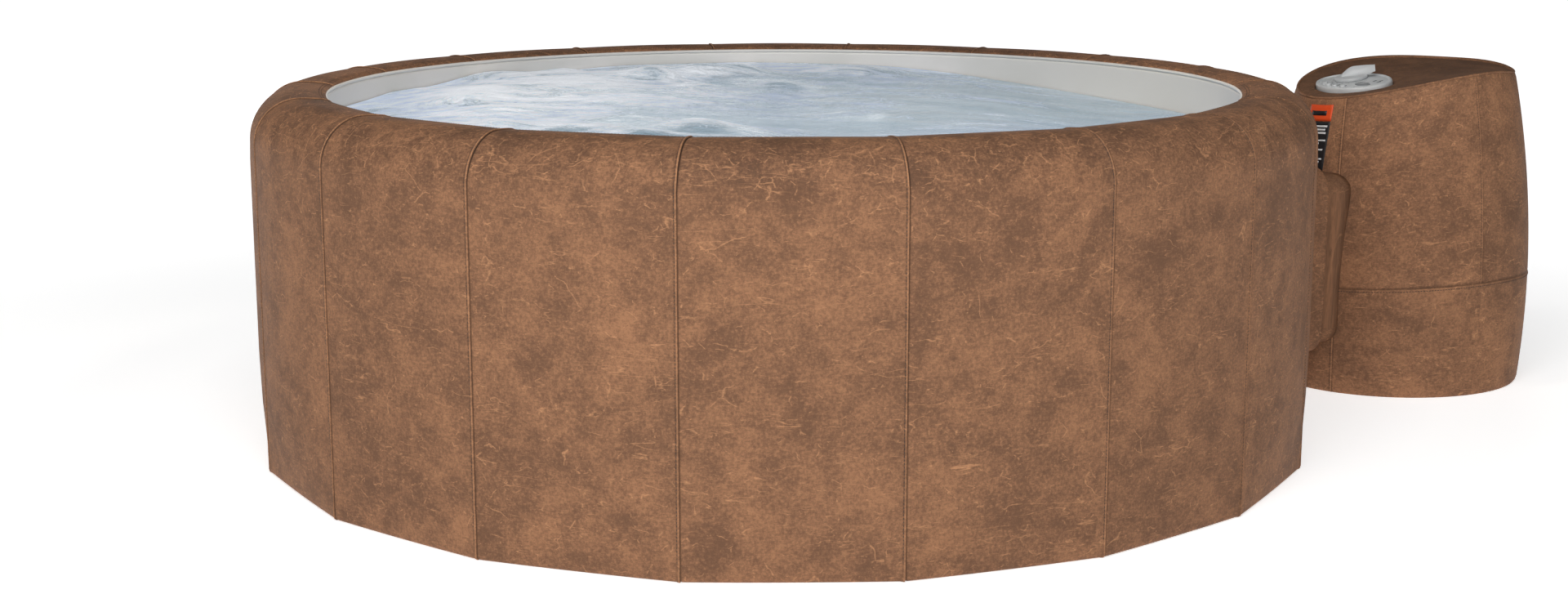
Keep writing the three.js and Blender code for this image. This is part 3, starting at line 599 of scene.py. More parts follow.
def make_tub_stitches():
    runs = []
    first, last = 5, len(PROFILE) - 3
    for seam in range(PANELS):
        path = [on_jacket(seam, STITCH_ACROSS, row, STITCH_LIFT) for row in range(first, last)]
        normals = [from_seam(seam, 0.0, *normal) for normal in PROFILE_NORMAL[first:last]]
        runs.append(stitch_run(path, normals))
    for radius in HEMS:
        row = int(np.argmin(np.abs(PROFILE[:, 0] - radius) + (PROFILE[:, 1] < 0.5)))
        angles = [(seam, t) for seam in range(PANELS) for t in np.linspace(0.003, PANEL * TUB_R - 0.01, 12)]
        path = [on_jacket(seam, offset, row, -0.0004) for seam, offset in angles]
        path.append(path[0])
        runs.append(stitch_run(path, [(0, 0, 1)] * len(path)))
    new_piece("tub_seam_stitching", *join_runs(runs), THREAD_DARK)


# ---- fittings in the walls
def station(angle, height):
    """Carries a turned piece's across, up and out into the frame: out leads away from the tub's middle."""
    c, s = cos(radians(angle)), sin(radians(angle))
    return lambda across, up, out: (out * c - across * s, out * s + across * c, height + up)


def drill(piece, radius, place):
    """Cuts a round hole through a wall of the basin."""
    points = rings([(radius, BASIN_R - 0.035), (radius, BASIN_R + 0.035)], 40, place)
    bit = new_piece("drill", points, capped(2, 40), LINER, None)
    hole = piece.modifiers.new("hole", "BOOLEAN")
    hole.object = bit
    hole.solver = "EXACT"
    cut = bpy.data.meshes.new_from_object(piece.evaluated_get(bpy.context.evaluated_depsgraph_get()))
    piece.modifiers.clear()
    piece.data = cut
    bpy.data.objects.remove(bit)


def make_jets():
    body = mm((10, 821), (22, 821), (22, 770.4), (33.2, 769.9), (34, 769), (33.8, 767), (32.5, 765.3),
              (30.2, 764.3), (27, 763.9), (21.8, 764), (20.5, 764.6), (20, 766), (20, 800), (10, 808))
    snout = mm((10.6, 765.5), (10.1, 750), (9.6, 747.9), (8.5, 747), (7, 747.2), (6, 748.2), (6, 793))
    nozzle = arc((0.0, 0.78), 0.016, 55, -47, 12) + snout
    for k, angle in enumerate(JET_ANGLES, 1):
        place = station(angle, JET_Z)
        revolve(f"jet_housing_{k}", body, 56, WHITE, place, replaces=f"jet_body_{k}")
        revolve(f"jet_ball_{k}", nozzle, 48, GREY, place, f"jet_{k}", f"jet_nozzle_{k}")
        make_pad(f"jet_pad_{k}", place, 0.0225, 0.050)


def make_pad(name, place, hole, edge):
    """A welded ring of liner vinyl round a fitting, bent to the basin's wall."""
    profile = [(hole, 0.001), (hole, -0.0014), (0.5 * (hole + edge), -0.0016), (edge - 0.002, -0.0014),
               (edge, -0.0004), (edge, 0.001)]
    revolve(name, profile, 64, LINER,
            lambda across, up, out: place(across, up, sqrt(BASIN_R ** 2 - across ** 2) + out))


def stadium(half_long, half_wide, count=9):
    """A bar's outline with round ends."""
    straight = half_long - half_wide
    return arc((straight, 0.0), half_wide, -90, 90, count) + arc((-straight, 0.0), half_wide, 90, 270, count)


def make_drain():
    place = station(DRAIN_ANGLE, DRAIN_Z)
    pipe = mm((11, 767), (22.8, 767), (24, 768), (24, 770.2), (23, 771), (15, 771.2), (15, 903.2),
              (21.2, 903.2), (22, 904), (22, 907), (21.2, 907.8), (14.2, 908), (14, 909))
    thread = [(0.014 - 0.0005 * (i % 2), 0.9095 + 0.0013 * i) for i in range(12)]
    revolve("drain_valve_body", pipe + thread + [(0.0136, 0.9258), (0.011, 0.926)], 56, WHITE, place,
            replaces="drain_fitting")
    washer = mm((15.2, 886), (41, 886), (41.8, 893), (39.5, 898.5), (33, 902.2), (28, 902.9), (15.2, 902.9))
    revolve("drain_washer", washer, 64, RUBBER, place)
    make_pad("drain_pad", place, 0.0146, 0.04)

    def fluted(across, up, out):
        wide = hypot(across, up)
        grip = 1 - 0.022 * (0.5 + 0.5 * cos(20 * atan2(up, across))) if wide > 0.0185 else 1.0
        return place(across * grip, up * grip, out)

    cup = mm((14.6, 910), (19.6, 910), (20, 910.6), (20, 933.8), (19.5, 935.1), (18.2, 935.8), (15, 936.1),
             (0.6, 936.2), (0.6, 927), (14.6, 927))
    sides = 160
    rim = (rings(cup, sides, fluted), grid_faces(len(cup), sides, True, True))
    outline = stadium(0.017, 0.0035)
    levels = ((1.0, 0.9345), (1.0, 0.9405), (0.97, 0.9415), (0.88, 0.942))
    points = [place(x * size, y * size, out) for size, out in levels for x, y in outline]
    bar = (points, capped(len(levels), len(outline)))
    new_piece("drain_cap_moulded", *join_runs([rim, bar]), BLACK, "drain", "drain_cap")


def make_cable_gland():
    profile = mm((3.5, 214), (9, 214), (9, 251.5), (15.4, 251.5), (16, 252.1), (16, 255.2), (15.3, 256.1),
                 (11.5, 257.2), (10.8, 260.5), (9.9, 261.1), (10.2, 264), (9.3, 264.6), (9.6, 267.5),
                 (8.6, 268.2), (7.6, 272.2), (5.6, 273.9), (4, 274), (3.5, 273.5))
    revolve("cable_gland_moulded", profile, 48, BLACK,
            lambda across, up, out: pack_place(out, across, GLAND_Z + up), replaces="cable_gland")


def make_ground_sheet():
    edge = TUB_R - FOOT_INSET
    profile = [(0.02, 0.0026), (0.3, 0.0026), (0.6, 0.0026), (0.85, 0.0026), (edge - 0.001, 0.0026),
               (edge, 0.002), (edge, 0.0006), (edge - 0.001, 0.0), (0.6, 0.0), (0.02, 0.0)]
    sheet = revolve("ground_sheet_vinyl", profile, 144, VINYL, lambda *at: at, "tub", "ground_sheet", False)
    lay_pattern(sheet, [(v.co.x, v.co.y) for v in sheet.data.vertices])


# ---- liner and bead
def make_liner_skin():
    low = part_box("liner")[0][2]
    floor = low + 0.004
    profile = [(0.02, floor), (0.25, floor), (0.5, floor), (0.7, floor + 0.0005)]
    profile += arc((BASIN_R - 0.045, floor + 0.045), 0.045, -90, 0, 9)
    profile += [(BASIN_R, z) for z in np.linspace(0.1, 0.585, 18)]
    profile += [(BASIN_R - 0.0008, 0.592), (BASIN_R - 0.0004, 0.596), (BASIN_R + 0.0024, 0.5975),
                (BASIN_R + 0.004, 0.59), (BASIN_R + 0.004, 0.1), (BASIN_R - 0.03, low), (0.02, low)]
    angles = around(180)
    points = []
    for r, z in profile:
        ripple = 0.0012 * exp(-((z - 0.08) / 0.05) ** 2) if r > 0.72 else 0.0
        for a in angles:
            wave = ripple * sin(23 * a) + (0.0008 * sin(9 * a + 14 * z) if 0.1 < z < 0.58 else 0.0)
            points.append(((r - wave) * cos(a), (r - wave) * sin(a), z))
    liner = new_piece("liner_skin", points, capped(len(profile), len(angles)), LINER, replaces="liner")
    for angle in JET_ANGLES:
        drill(liner, 0.0222, station(angle, JET_Z))
    drill(liner, 0.0146, station(DRAIN_ANGLE, DRAIN_Z))
    drill(liner, 0.026, station(LINE_ANGLE, SUCTION_Z))


def make_bead():
    section = arc((0.7752, 0.5995), 0.003, 0, 324, 10)
    revolve("rim_bead_cord", section, 216, LINER, lambda *at: at, replaces="rim_bead")


# ---- equipment pack
def pack_place(x, y, z):
    """From the pack's own directions, away from the tub and across, into the frame."""
    u = x + PACK_DISTANCE
    return (u * cos(PACK_ANGLE) - y * sin(PACK_ANGLE),
            u * sin(PACK_ANGLE) + y * cos(PACK_ANGLE), z)


def top_height(x, y):
    """Height of the pack's sloping top, which sags at its far front corner and lifts a little behind it."""
    angle = degrees(atan2(y, x))
    reach = min(1.1, hypot(x / PACK_RIM[0], y / PACK_RIM[1])) ** 3
    sag = reach * (0.0034 * exp(-((angle - 10) / 22) ** 2) - 0.008 * exp(-((angle + 37) / 24) ** 2))
    return TOP_CREST[1] - TOP_FALL * (x - TOP_CREST[0]) ** 2 + TOP_DISH * y ** 2 + sag


def half_at(share, axis):
    """Half the pack's width at a share of its height: a curve through its base, belt and rim."""
    return (PACK_BASE[axis] * ((share - BELT_SHARE) * (share - 1)) / BELT_SHARE
            + PACK_BELT[axis] * (share * (share - 1)) / (BELT_SHARE * (BELT_SHARE - 1))
            + PACK_RIM[axis] * (share * (share - BELT_SHARE)) / (1 - BELT_SHARE))


PACK_SEAMS = [radians(a) for a in (211, 275.5, 84, 149)]     # corners; the second and third stop at the belt
BELT_ROW = 18


def pack_shares():
    low = np.linspace(0.014, BELT_SHARE - 0.03, BELT_ROW - 7)
    belt = BELT_SHARE + BELT_AT / PACK_H
    high = np.linspace(BELT_SHARE + 0.02, 0.985, 24)
    return np.concatenate([[0.0, 0.005], low, belt, high, [0.994, 1.0]])


def lean(share, angle):
    """The corner seams nearest the tub lean towards it above the belt."""
    turn = radians(4.5) * max(0.0, (share - BELT_SHARE) / (1 - BELT_SHARE))
    return sum(side * turn * exp(-((angle - seam) / 0.5) ** 2)
               for seam, side in ((PACK_SEAMS[0], -1), (PACK_SEAMS[3], 1)))


BELT_AT = np.array([-10, -7, -5, -3, -1.2, 0, 1.2, 6]) / 1000        # across the belt's fold line, upwards
BELT_UP = np.array([0, 0.3, 0.9, 1.2, 1.3, 0, -0.7, 0]) / 1000
# Belt edge values: wear and a painted highlight just below the fold line, painted shade along it.
BELT_WEAR_HIGHLIGHT_SHADE = np.array([0, 0, 0, 0, 0.2, -0.4, -0.7, 0])


def turn_between(start, angle):
    """From one angle to another, the short way round."""
    return (angle - start + pi) % (2 * pi) - pi


def pack_seam_gap(share, angle):
    """How far a point lies across from the nearest corner seam that runs at its height."""
    gaps = [turn_between(seam, angle) * PACK_MEAN_R for k, seam in enumerate(PACK_SEAMS)
            if share > BELT_SHARE or k not in (1, 2)]
    return min(gaps, key=abs)


# The pack's edge values: wear with painted highlights by its seams, painted shade in the seam and belt
# folds.
def pack_wear_highlight_shade(share, angle):
    seam = np.interp(pack_seam_gap(share, angle), RIDGE_AT, RIDGE_WEAR_HIGHLIGHT_SHADE)
    belt = np.interp((share - BELT_SHARE) * PACK_H, BELT_AT, BELT_WEAR_HIGHLIGHT_SHADE)
    return 0.75 * seam + belt


def on_pack(share, angle, lift=0.0):
    shape = angle + lean(share, angle)
    c, s = cos(shape), sin(shape)
    rim = top_height(PACK_RIM[0] * c, PACK_RIM[1] * s)
    out = lift + 0.6 * np.interp(pack_seam_gap(share, angle), RIDGE_AT, RIDGE_UP)
    out += 0.4 * np.interp((share - BELT_SHARE) * rim, BELT_AT, BELT_UP)
    out -= 0.003 * max(0.0, 1 - share / 0.012) ** 2 + 0.0022 * max(0.0, (share - 0.98) / 0.02) ** 2
    x = (half_at(share, 0) + out) * c
    y = (half_at(share, 1) + out) * s
    return pack_place(x, y, share * rim)


def make_pack_jacket():
    angles = [a for a in around(84) if min(abs(turn_between(s, a)) for s in PACK_SEAMS) > 0.075]
    for seam in PACK_SEAMS:
        angles.extend((seam + RIDGE_AT / PACK_MEAN_R) % (2 * pi))
    angles = np.sort(np.array(angles))
    shares = pack_shares()
    points = [on_pack(s, a) for s in shares for a in angles]
    inner_shares = (1.0, 0.7, 0.36, 0.0)
    points += [on_pack(s, a, -0.004) for s in inner_shares for a in angles]
    rows = len(shares) + len(inner_shares)
    faces = grid_faces(rows, len(angles), True, True)
    jacket = new_piece("pack_jacket_sewn", points, faces, VINYL, replaces="pack_jacket")
    panel = np.searchsorted(np.sort(PACK_SEAMS), angles + 1e-6) % len(PACK_SEAMS)
    column = faces[:, 0] % len(angles)
    below = faces[:, 0] // len(angles) < BELT_ROW
    flat = [(a * PACK_MEAN_R, s * 0.6) for s in (*shares, *inner_shares) for a in angles]
    # Edge values of the jacket: wear, painted highlights and painted shade by the seams and belt.
    wear = [pack_wear_highlight_shade(s, a) for s in shares for a in angles] + [0.0] * (len(inner_shares) * len(angles))
    mark_points(jacket, "edge", wear)
    lay_pattern(jacket, flat, panel[column] + 4 * below, 2 * pi * PACK_MEAN_R)


def pack_normal(angle):
    """Straight out of the pack's wall, taken as one oval of mean half widths."""
    turn = PACK_ANGLE + atan2(sin(angle) / 0.23, cos(angle) / 0.244)
    return (cos(turn), sin(turn), 0.0)


def make_pack_stitches():
    runs = []
    for k, seam in enumerate(PACK_SEAMS):
        angle = seam + STITCH_ACROSS / PACK_MEAN_R
        low = BELT_SHARE + 0.01 if k in (1, 2) else 0.02
        path = [on_pack(s, angle, STITCH_LIFT) for s in np.linspace(low, 0.985, 30)]
        runs.append(stitch_run(path, [pack_normal(angle)] * len(path)))
    angles = np.linspace(0, 2 * pi, 120)
    path = [on_pack(BELT_SHARE - 0.0075, a, STITCH_LIFT) for a in angles]
    runs.append(stitch_run(path, [pack_normal(a) for a in angles]))
    new_piece("pack_seam_stitching", *join_runs(runs), THREAD_DARK)


PANEL_TILT = atan(2 * TOP_FALL * (TOP_CREST[0] - PANEL_MIDDLE[0]))
PANEL_Z = top_height(*PANEL_MIDDLE) + 0.0008


def panel_place(x, y, z):
    """From the control panel's own plane into the frame."""
    c, s = cos(PANEL_TILT), sin(PANEL_TILT)
    return pack_place(PANEL_MIDDLE[0] + x * c - z * s, PANEL_MIDDLE[1] + y, PANEL_Z + x * s + z * c)


def make_pack_top():
    """The top panel runs from the piping to the control panel's oval edge."""
    angles = around(144)
    inset = 0.0035
    rim = np.array([((PACK_RIM[0] - inset) * cos(a), (PACK_RIM[1] - inset) * sin(a)) for a in angles])
    # The inner loop starts each point where a ray from the panel's middle to the rim leaves the oval.
    middle = np.array(PANEL_MIDDLE)
    toward = rim - middle
    size = np.hypot(toward[:, 0] / (PANEL_HALF[0] + 0.0008), toward[:, 1] / (PANEL_HALF[1] + 0.0008))
    hole = middle + toward / size[:, None]
    rows = []
    levels = [(0.0, -0.008), (0.0, -0.0012), (0.03, 0.0004), (0.1, 0.001), (0.25, 0.0012),
              (0.45, 0.0012), (0.65, 0.0012), (0.82, 0.001), (0.93, 0.0002), (0.975, -0.0008),
              (1.0, -0.002), (1.0, -0.01)]
    for share, lift in levels:
        at = hole + (rim - hole) * share
        rows.extend(pack_place(x, y, top_height(x, y) + lift) for x, y in at)
    faces = grid_faces(len(levels), len(angles), True, True)
    top = new_piece("pack_top_panel", rows, faces[:, ::-1], VINYL, replaces="pack_top")
    flat = [hole[k] + (rim[k] - hole[k]) * share for share, lift in levels for k in range(len(angles))]
    # Painted shade: the whole flat top is coloured darker.
    mark_points(top, "edge", [TOP_PAINTED_SHADE] * len(rows))
    lay_pattern(top, flat)


def make_piping():
    angles = around(180)
    ring = around(9)
    points = []
    for t in ring:
        for a in angles:
            x = (PACK_RIM[0] - 0.0026 + PIPING_R * cos(t)) * cos(a)
            y = (PACK_RIM[1] - 0.0026 + PIPING_R * cos(t)) * sin(a)
            z = top_height(PACK_RIM[0] * cos(a), PACK_RIM[1] * sin(a)) + PIPING_R * sin(t)
            points.append(pack_place(x, y, z))
    faces = grid_faces(len(ring), len(angles), True, True)
    piping = new_piece("pack_piping_cord", points, faces, VINYL, replaces="pack_piping")
    lay_pattern(piping, [(a * 0.2, t * PIPING_R) for t in ring for a in angles])


SLEEVE_HALF = 0.143                # across
SLEEVE_Z = (0.08, 0.428)
SLEEVE_CORNER = 0.048
SLEEVE_END = -PACK_BELT[0] - 0.0012


def sleeve_outline(inset):
    half, low, high = SLEEVE_HALF - inset, SLEEVE_Z[0] + inset, SLEEVE_Z[1] - inset
    corner = SLEEVE_CORNER - inset
    outline = []
    for (y, z), start in (((half - corner, high - corner), 0), ((-half + corner, high - corner), 90),
                          ((-half + corner, low + corner), 180), ((half - corner, low + corner), 270)):
        outline += arc((y, z), corner, start, start + 90, 9)
    return np.array(outline)


def pack_face(y, z):
    """Where the pack's jacket meets a line running towards it from the tub."""
    share = z / PACK_NEAR_H
    return -half_at(share, 0) * sqrt(1 - (y / half_at(share, 1)) ** 2)


def make_sleeve():
    """The padded sleeve round the hoses, puffed between its two end hems."""
    outline = sleeve_outline(0.0)
    middle = outline.mean(0)
    ends = (0.0, 0.004, 0.02, 0.06, 0.12, 0.2, 0.35, 0.5, 0.65, 0.8, 0.88, 0.94, 0.98, 0.996, 1.0)
    half_puff = (-0.004, -0.0006, 0.0004, 0.001, 0.0, 0.0008, 0.002)
    puff = (*half_puff, 0.0024, *reversed(half_puff))
    inside = (0.98, 0.5, 0.02)
    points = []
    for shares, lifts in ((ends, puff), (inside, (-0.011,) * len(inside))):
        for share, lift in zip(shares, lifts):
            for y, z in outline:
                away = np.array([y, z]) - middle
                away /= np.linalg.norm(away)
                yy, zz = y + away[0] * lift, z + away[1] * lift
                start = sqrt((TUB_R + 0.004) ** 2 - yy ** 2) - PACK_DISTANCE
                points.append(pack_place(start + (SLEEVE_END - start) * share, yy, zz))
    faces = grid_faces(len(ends) + len(inside), len(outline), True, True)
    sleeve = new_piece("hose_sleeve_padded", points, faces, VINYL, replaces="hose_sleeve")
    lay_pattern(sleeve, [(x * 0.12, g) for x in (*ends, *inside) for g in along_path(outline)])


def make_sleeve_collar():
    """The narrower neck of vinyl inside the sleeve's end, sewn to the pack's curved jacket."""
    outer, inner = sleeve_outline(0.014), sleeve_outline(0.0165)
    points = []
    for outline, shares in ((outer, (0.0, 0.25, 0.5, 0.75, 1.0)), (inner, (1.0, 0.0))):
        for share in shares:
            for y, z in outline:
                start, stop = SLEEVE_END - 0.01, pack_face(y, z) - 0.0012
                waist = 0.003 * sin(pi * share)
                points.append(pack_place(start + (stop - start) * share, y * (1 - waist / SLEEVE_HALF), z))
    faces = grid_faces(7, len(outer), True, True)
    collar = new_piece("hose_sleeve_collar", points, faces, VINYL)
    # Painted shade: the collar's colour is darkened as the shade in the recess between sleeve and pack.
    mark_points(collar, "edge", [-0.3] * len(points))
    lay_pattern(collar, [(0.02 * row, 0.01 * k) for row in range(7) for k in range(len(outer))])


def slab(rows, under):
    """A closed thin slab from a grid of points and the same grid pushed in: returns points and faces."""
    height, width = np.shape(rows)[:2]
    points = [p for grid in (rows, under) for row in grid for p in row]
    count = height * width
    faces = grid_faces(height, width)
    edge = [*range(width), *range(2 * width - 1, count, width), *range(count - 2, count - width - 1, -1),
            *range(count - 2 * width, 0, -width)]
    sides = [(b, a, a + count, b + count) for a, b in zip(edge, edge[1:] + edge[:1])]
    return points, [*faces, *(faces[:, ::-1] + count), *sides]


def make_label():
    """A sewn-on two-colour label with plain bars where the lettering would be."""
    left, right = radians(183.0), radians(203.0)
    low, high = 0.755, 0.978

    def place(across, up, lift):
        edge = right - radians(2.2) * (1 - up)
        return on_pack(low + (high - low) * up, left + (edge - left) * across, lift)

    def patch(x0, x1, y0, y1, lift, steps):
        sides, ups = np.linspace(x0, x1, steps[0]), np.linspace(y0, y1, steps[1])
        return slab(*([[place(x, y, out) for x in sides] for y in ups] for out in (lift, -0.0004)))

    new_piece("label_body", *patch(0, 1, 0, 0.745, 0.0009, (16, 16)), LABEL_BLACK)
    new_piece("label_band", *patch(0, 1, 0.755, 1, 0.0009, (16, 6)), LABEL_RED)
    bars = [(0.92, 0.66, 0.69), (0.86, 0.61, 0.64), (0.9, 0.56, 0.59), (0.93, 0.45, 0.475),
            (0.7, 0.405, 0.43), (0.88, 0.31, 0.335), (0.62, 0.265, 0.29), (0.9, 0.17, 0.195),
            (0.82, 0.125, 0.15), (0.48, 0.08, 0.105)]
    pale = join_runs([patch(0.1, x1, y0, y1, 0.0012, (8, 2)) for x1, y0, y1 in bars])
    new_piece("label_bars", *pale, LABEL_WHITE)
    new_piece("label_band_mark", *patch(0.14, 0.8, 0.84, 0.91, 0.0012, (8, 2)), LABEL_BLACK)


def panel_bar(x, y, half_x, half_y, turn=0.0):
    """A thin printed bar on the control panel."""
    place = on_panel((x, y), turn)
    return slab(*([[place(a, b, z) for a in (-half_x, half_x)] for b in (-half_y, half_y)]
                  for z in (0.00735, 0.0066)))


def make_panel_print():
    """Generic marks: a sign by each button, a scale round the dial and three small status windows."""
    runs = []
    for k, (bx, by) in enumerate(BUTTONS):
        out = atan2(by, bx)
        x, y = bx - 0.0125 * cos(out), by - 0.0125 * sin(out)
        runs.append(panel_bar(x, y, 0.003, 0.0006))
        if k in (0, 3):
            runs.append(panel_bar(x, y, 0.0006, 0.003))
        if k == 2:
            runs.append(panel_bar(x, y + 0.0022, 0.003, 0.0005))
            runs.append(panel_bar(x, y - 0.0022, 0.003, 0.0005))
    for t in np.linspace(radians(20), radians(250), 12):
        x, y = DIAL[0] + 0.035 * cos(t), DIAL[1] + 0.035 * sin(t)
        runs.append(panel_bar(x, y, 0.002, 0.0004, t))
    for x, y in ((-0.036, -0.05), (-0.028, -0.064)):
        runs.append(panel_bar(x, y, 0.0035, 0.0012, -0.6))
        runs.append(panel_bar(x + 0.002, y - 0.004, 0.003, 0.0005, -0.6))
    for x, y in ((0.02, -0.04), (0.026, -0.052), (0.016, -0.058)):
        runs.append(panel_bar(x, y, 0.0045, 0.0016, 0.25))
    new_piece("panel_print", *join_runs(runs), PRINT)


def ovals(levels, count, place, half):
    """Points and faces of a solid of stacked ovals: its (scale, height) levels above the control panel."""
    return rings(levels, count, place, half), capped(len(levels), count)


def make_bezel():
    levels = [(0.985, -0.01), (1.0, -0.002), (1.0, 0.0036), (0.994, 0.0062), (0.978, 0.0082),
              (0.955, 0.009), (0.925, 0.0091), (0.915, 0.0088), (0.908, 0.0074), (0.9, 0.0066),
              (0.892, 0.0066), (0.885, 0.007), (0.6, 0.007), (0.3, 0.0072)]
    mesh = ovals(levels, 144, panel_place, PANEL_HALF)
    new_piece("control_bezel_moulded", *mesh, GREY, replaces="control_bezel")


def on_panel(at, turn=0.0):
    """Carries a small piece's own x, y and z to its place and turn on the control panel."""
    c, s = cos(turn), sin(turn)
    return lambda x, y, z: panel_place(at[0] + x * c - y * s, at[1] + x * s + y * c, z)


def make_dial():
    place = on_panel(DIAL, DIAL_TURN)
    levels = [(0.95, 0.0074), (1.0, 0.0086), (1.0, 0.0118), (0.97, 0.0134), (0.9, 0.0146), (0.78, 0.015),
              (0.55, 0.0148), (0.25, 0.0146)]
    disc = ovals(levels, 72, place, (DIAL_R, DIAL_R))
    # The wing: a broad curved blade that rises from the disc and reaches out over its rim.
    wing = []
    stations = 21
    for t in np.linspace(0, 1, stations):
        x = -0.024 + 0.07 * t
        crest = 0.014 + 0.0165 * sin(min(1.0, t / 0.45) * pi / 2) ** 1.2
        base = 0.013 + 0.0055 * max(0.0, (t - 0.78) / 0.22)
        thick = 0.0035 + 0.0055 * sin(pi * min(1.0, 0.12 + t * 0.95))
        bow = 0.007 * sin(pi * t)
        tilt = 0.004 * (crest - base) / 0.017
        section = [(-thick, base), (-thick * 0.72 + tilt * 0.4, 0.5 * (base + crest)),
                   (-0.0016 + tilt, crest - 0.0009), (tilt, crest), (0.0016 + tilt, crest - 0.0009),
                   (thick * 0.72 + tilt * 0.4, 0.5 * (base + crest)), (thick, base)]
        wing.extend(place(x, y + bow, z) for y, z in section)
    runs = [disc, (wing, capped(stations, len(section)))]
    dial = new_piece("air_dial_moulded", *join_runs(runs), GREY_SHADED, "dial", "air_dial")
    bevel = dial.modifiers.new("soften", "BEVEL")
    bevel.width = 0.0005
    bevel.segments = 2
    bevel.limit_method = "ANGLE"


def make_buttons():
    levels = [(1.0, 0.0005), (1.0, 0.0095), (0.95, 0.0106), (0.84, 0.0113), (0.5, 0.011), (0.15, 0.0108)]
    for k, at in enumerate(BUTTONS, 1):
        mesh = ovals(levels, 36, on_panel(at), (BUTTON_R, BUTTON_R))
        new_piece(f"button_cap_{k}", *mesh, GREY_SHADED, f"key_{k}", f"button_{k}")


def make_window_lens():
    levels = [(0.96, 0.004), (1.0, 0.007), (0.985, 0.008), (0.93, 0.0086), (0.5, 0.0088)]
    mesh = ovals(levels, 60, on_panel(WINDOW), WINDOW_HALF)
    new_piece("display_window", *mesh, WINDOW_DARK, replaces="display_lens")


# ---- carried-over CAD nodes
def dress_cad_nodes():
    slots = {s["node"]: s["material_slot"] for s in frame["record"]["subparts"]}
    for name, node in frame["nodes"].items():
        material = SLOT_LOOKS[slots[name]][0]
        if not node.data.materials:
            node.data.materials.append(material)
        for slot in node.material_slots:
            slot.material = material


# ---- stage: water, floor, lights, camera
def make_water():
    n = Nodes("water")
    place = n.place
    x, y, z = n.split(place)
    churn = n.noise(n.turned(place, (0, 0, 0.3), (1.0, 1.6, 1.0)), 5.5, 9.0, 0.7, 0.9)
    side = n.span(n.times(y, 0.45, n.times(x, -1.0)), -0.75, 0.75)
    foam = n.span(n.times(side, 0.24, churn), 0.54, 0.76)
    bubbles = n.span(n.cells(place, 130.0), 0.1, 0.34, 1.0, 0.0)
    sparkle = n.times(bubbles, n.span(n.noise(place, 20.0, 3.0), 0.56, 0.66))
    foam = n.math("ADD", foam, n.times(sparkle, 0.7), clamp=True)
    deep = n.ramp(n.noise(n.turned(place, (0, 0, 0.2), (1.0, 3.0, 1.0)), 5.0, 4.0),
                  (0.35, (0.27, 0.37, 0.45)), (0.65, (0.4, 0.5, 0.58)))
    corner = n.span(n.math("SUBTRACT", x, y), 0.35, 1.1)
    deep = n.mix(n.times(corner, 0.6), deep, (0.23, 0.3, 0.6))
    # Painted highlight and shade: the foam's colour is whiter on the surface's crests and darker in its
    # hollows.
    crest = n.span(z, WATER_Z - 0.004, WATER_Z + 0.02)
    fleck = n.noise(n.turned(place, (0, 0, 0.2), (1.0, 1.6, 1.0)), 22.0, 8.0, 0.7)
    froth_and_highlight = n.ramp(n.times(crest, 0.32, fleck),
                   (0.46, (0.54, 0.63, 0.78)), (0.78, (0.9, 0.94, 1.0)))
    colour = n.mix(foam, deep, froth_and_highlight)
    small = n.times(n.noise(place, 14.0, 6.0, 0.6), 2.0, n.noise(place, 60.0, 5.0, 0.6))
    # The emission is painted light: the water glows though it is no lamp.
    n.set(Base_Color=colour, Roughness=n.span(foam, 0.0, 1.0, 0.1, 0.55), Specular_IOR_Level=0.5,
          Emission_Color=colour, Emission_Strength=WATER_GLOW, Normal=n.bump(small, 0.01, 0.8))
    rows, sides = 90, 220
    waves = [(rng.uniform(4, 26), rng.uniform(0, 2 * pi), rng.uniform(0, 2 * pi)) for _ in range(26)]
    heaps = [(rng.uniform(-0.7, 0.15), rng.uniform(-0.55, 0.7), rng.uniform(0.005, 0.013),
              rng.uniform(0.04, 0.1)) for _ in range(34)]
    points = []
    for r in np.linspace(0.004, BASIN_R - 0.0025, rows):
        for a in around(sides):
            px, py = r * cos(a), r * sin(a)
            lift = sum(sin(k * (px * cos(d) + py * sin(d)) + p) / (k ** 0.8) for k, d, p in waves)
            churned = 0.6 + 0.6 / (1 + exp(6 * (px - 0.1)))
            mound = 0.014 * exp(-((px + 0.48) / 0.26) ** 2 - ((py - 0.15) / 0.4) ** 2)
            # The air lifts the churned middle above the calm water at the right and beside the left wall.
            calm = 0.048 / (1 + exp(-10 * (px - 0.46))) + 0.015 / (1 + exp(14 * (px + 0.6)))
            heap = sum(h * exp(-((px - hx) ** 2 + (py - hy) ** 2) / w ** 2) for hx, hy, h, w in heaps)
            points.append((px, py, WATER_Z - calm + 0.0048 * lift * churned + 0.002 + mound + heap))
    faces = [*grid_faces(rows, sides, False, True), tuple(reversed(range(sides)))]
    new_piece("water", points, faces, n.owner, None, closed=False)


def make_floor():
    n = Nodes("studio_floor")
    cloud = n.noise(n.place, 2.0, 3.0)
    away = n.add("VectorMath", (n.place,), "Value", operation="LENGTH")
    n.set(Base_Color=n.ramp(cloud, (0.3, (0.8, 0.8, 0.8)), (0.7, (0.82, 0.82, 0.82))), Roughness=0.85,
          Emission_Color=(1.0, 1.0, 1.0), Emission_Strength=n.span(away, 1.4, 4.0, FLOOR_GLOW, 1.0))
    points = [(x, y, 0.0) for y in (-FLOOR_REACH, FLOOR_REACH) for x in (-FLOOR_REACH, FLOOR_REACH)]
    new_piece("studio_floor", points, [(0, 1, 3, 2)], n.owner, None, closed=False)


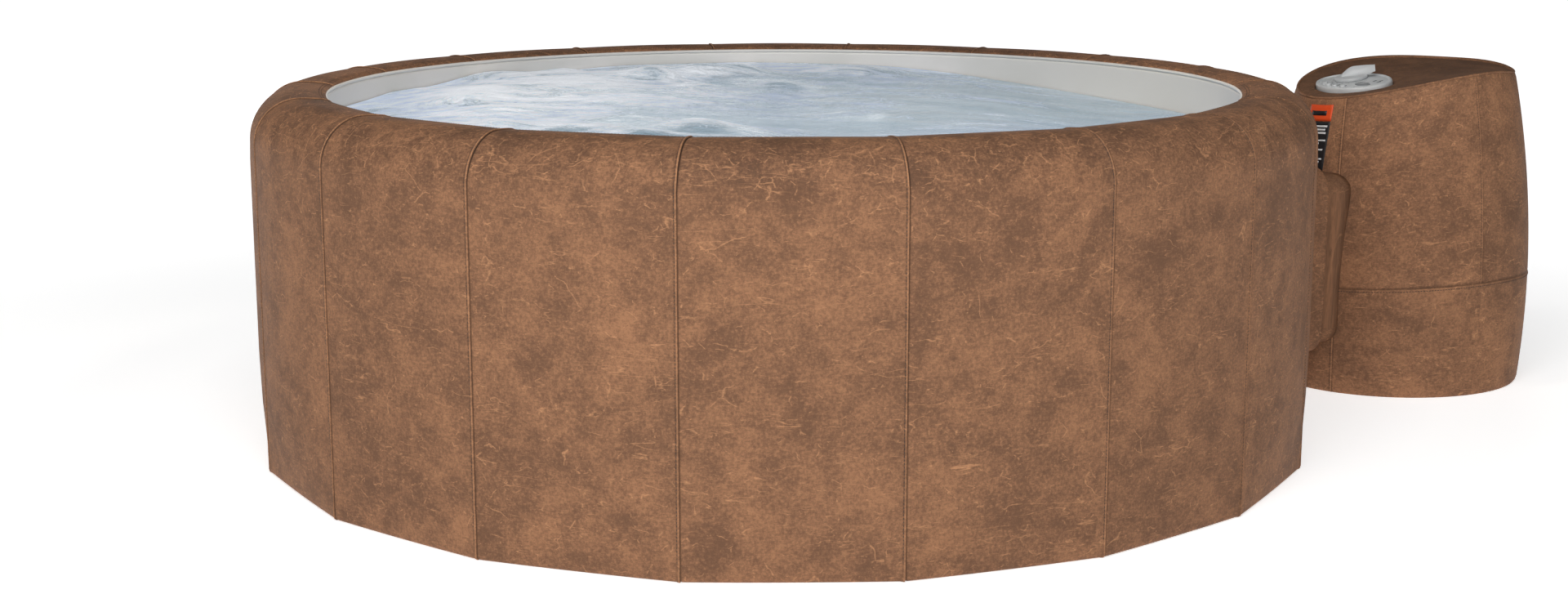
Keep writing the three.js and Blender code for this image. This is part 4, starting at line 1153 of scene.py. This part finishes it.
def make_world():
    """Soft light from the horizon under a dim ceiling, with dark flags to the left and right."""
    n = Nodes("studio", bpy.data.worlds, "Background")
    across, _, up = n.split(n.add("TexCoord", ()))
    dim = n.span(up, 0.0, 0.65, HORIZON_LIGHT, CEILING_LIGHT)
    flag = n.span(n.math("ABSOLUTE", across), 0.45, 0.95, 1.0, SIDE_LIGHT)
    n.set(Color=(1.0, 1.0, 1.0), Strength=n.times(dim, flag))
    bpy.context.scene.world = n.owner


def add_light(name, kind, at, target, power, size=1.0, size_y=None, colour=(1, 1, 1)):
    light = bpy.data.lights.new(name, kind)
    light.energy = power
    light.color = colour
    if kind == "AREA":
        light.shape = "RECTANGLE"
        light.size = size
        light.size_y = size_y or size
    else:
        light.shadow_soft_size = size
        light.spot_size = radians(27)
        light.spot_blend = 1.0
    lamp = add_object(name, light)
    lamp.visible_camera = False
    lamp.location = at
    lamp.rotation_euler = (Vector(target) - Vector(at)).to_track_quat("-Z", "Y").to_euler()


def add_camera_and_lights():
    camera = bpy.data.cameras.new("camera")
    camera.lens = CAMERA_LENS
    camera.sensor_width = 36.0
    eye = add_object("camera", camera)
    eye.location = CAMERA_AT
    eye.rotation_euler = (pi / 2 - CAMERA_PITCH, 0.0, 0.0)
    bpy.context.scene.camera = eye
    add_light("front", "AREA", (-3.4, -5.4, 2.8), (-0.1, 0.0, 0.35), 74, 4.0, 2.0)
    add_light("high", "AREA", (-0.4, -3.6, 4.8), (0.0, -0.5, 0.5), 140, 3.0, 2.0)
    add_light("right", "AREA", (1.0, -2.6, 1.7), (1.1, 0.0, 0.45), 6, 1.4, 1.4)
    for name, side, power in (("basin_left", -1, 52), ("basin_right", 1, 66)):
        add_light(name, "SPOT", (-0.7 * side, -0.9, 2.3), (0.7 * side, 0.06, 0.47), power, 0.2,
                  colour=(1.0, 0.9, 0.78))
    add_light("back", "AREA", (-1.0, 6.5, 0.9), (0.0, 0.0, 0.3), 26, 5.0, 1.2)
    make_world()
    bpy.context.scene.view_settings.view_transform = "Standard"


# ---- build
add_camera_and_lights()
make_tub_jacket()
make_tub_stitches()
make_ground_sheet()
make_liner_skin()
make_bead()
make_jets()
make_drain()
make_pack_jacket()
make_pack_stitches()
make_pack_top()
make_piping()
make_sleeve()
make_sleeve_collar()
make_cable_gland()
make_bezel()
make_dial()
make_buttons()
make_window_lens()
make_panel_print()
make_label()
dress_cad_nodes()
make_water()
make_floor()
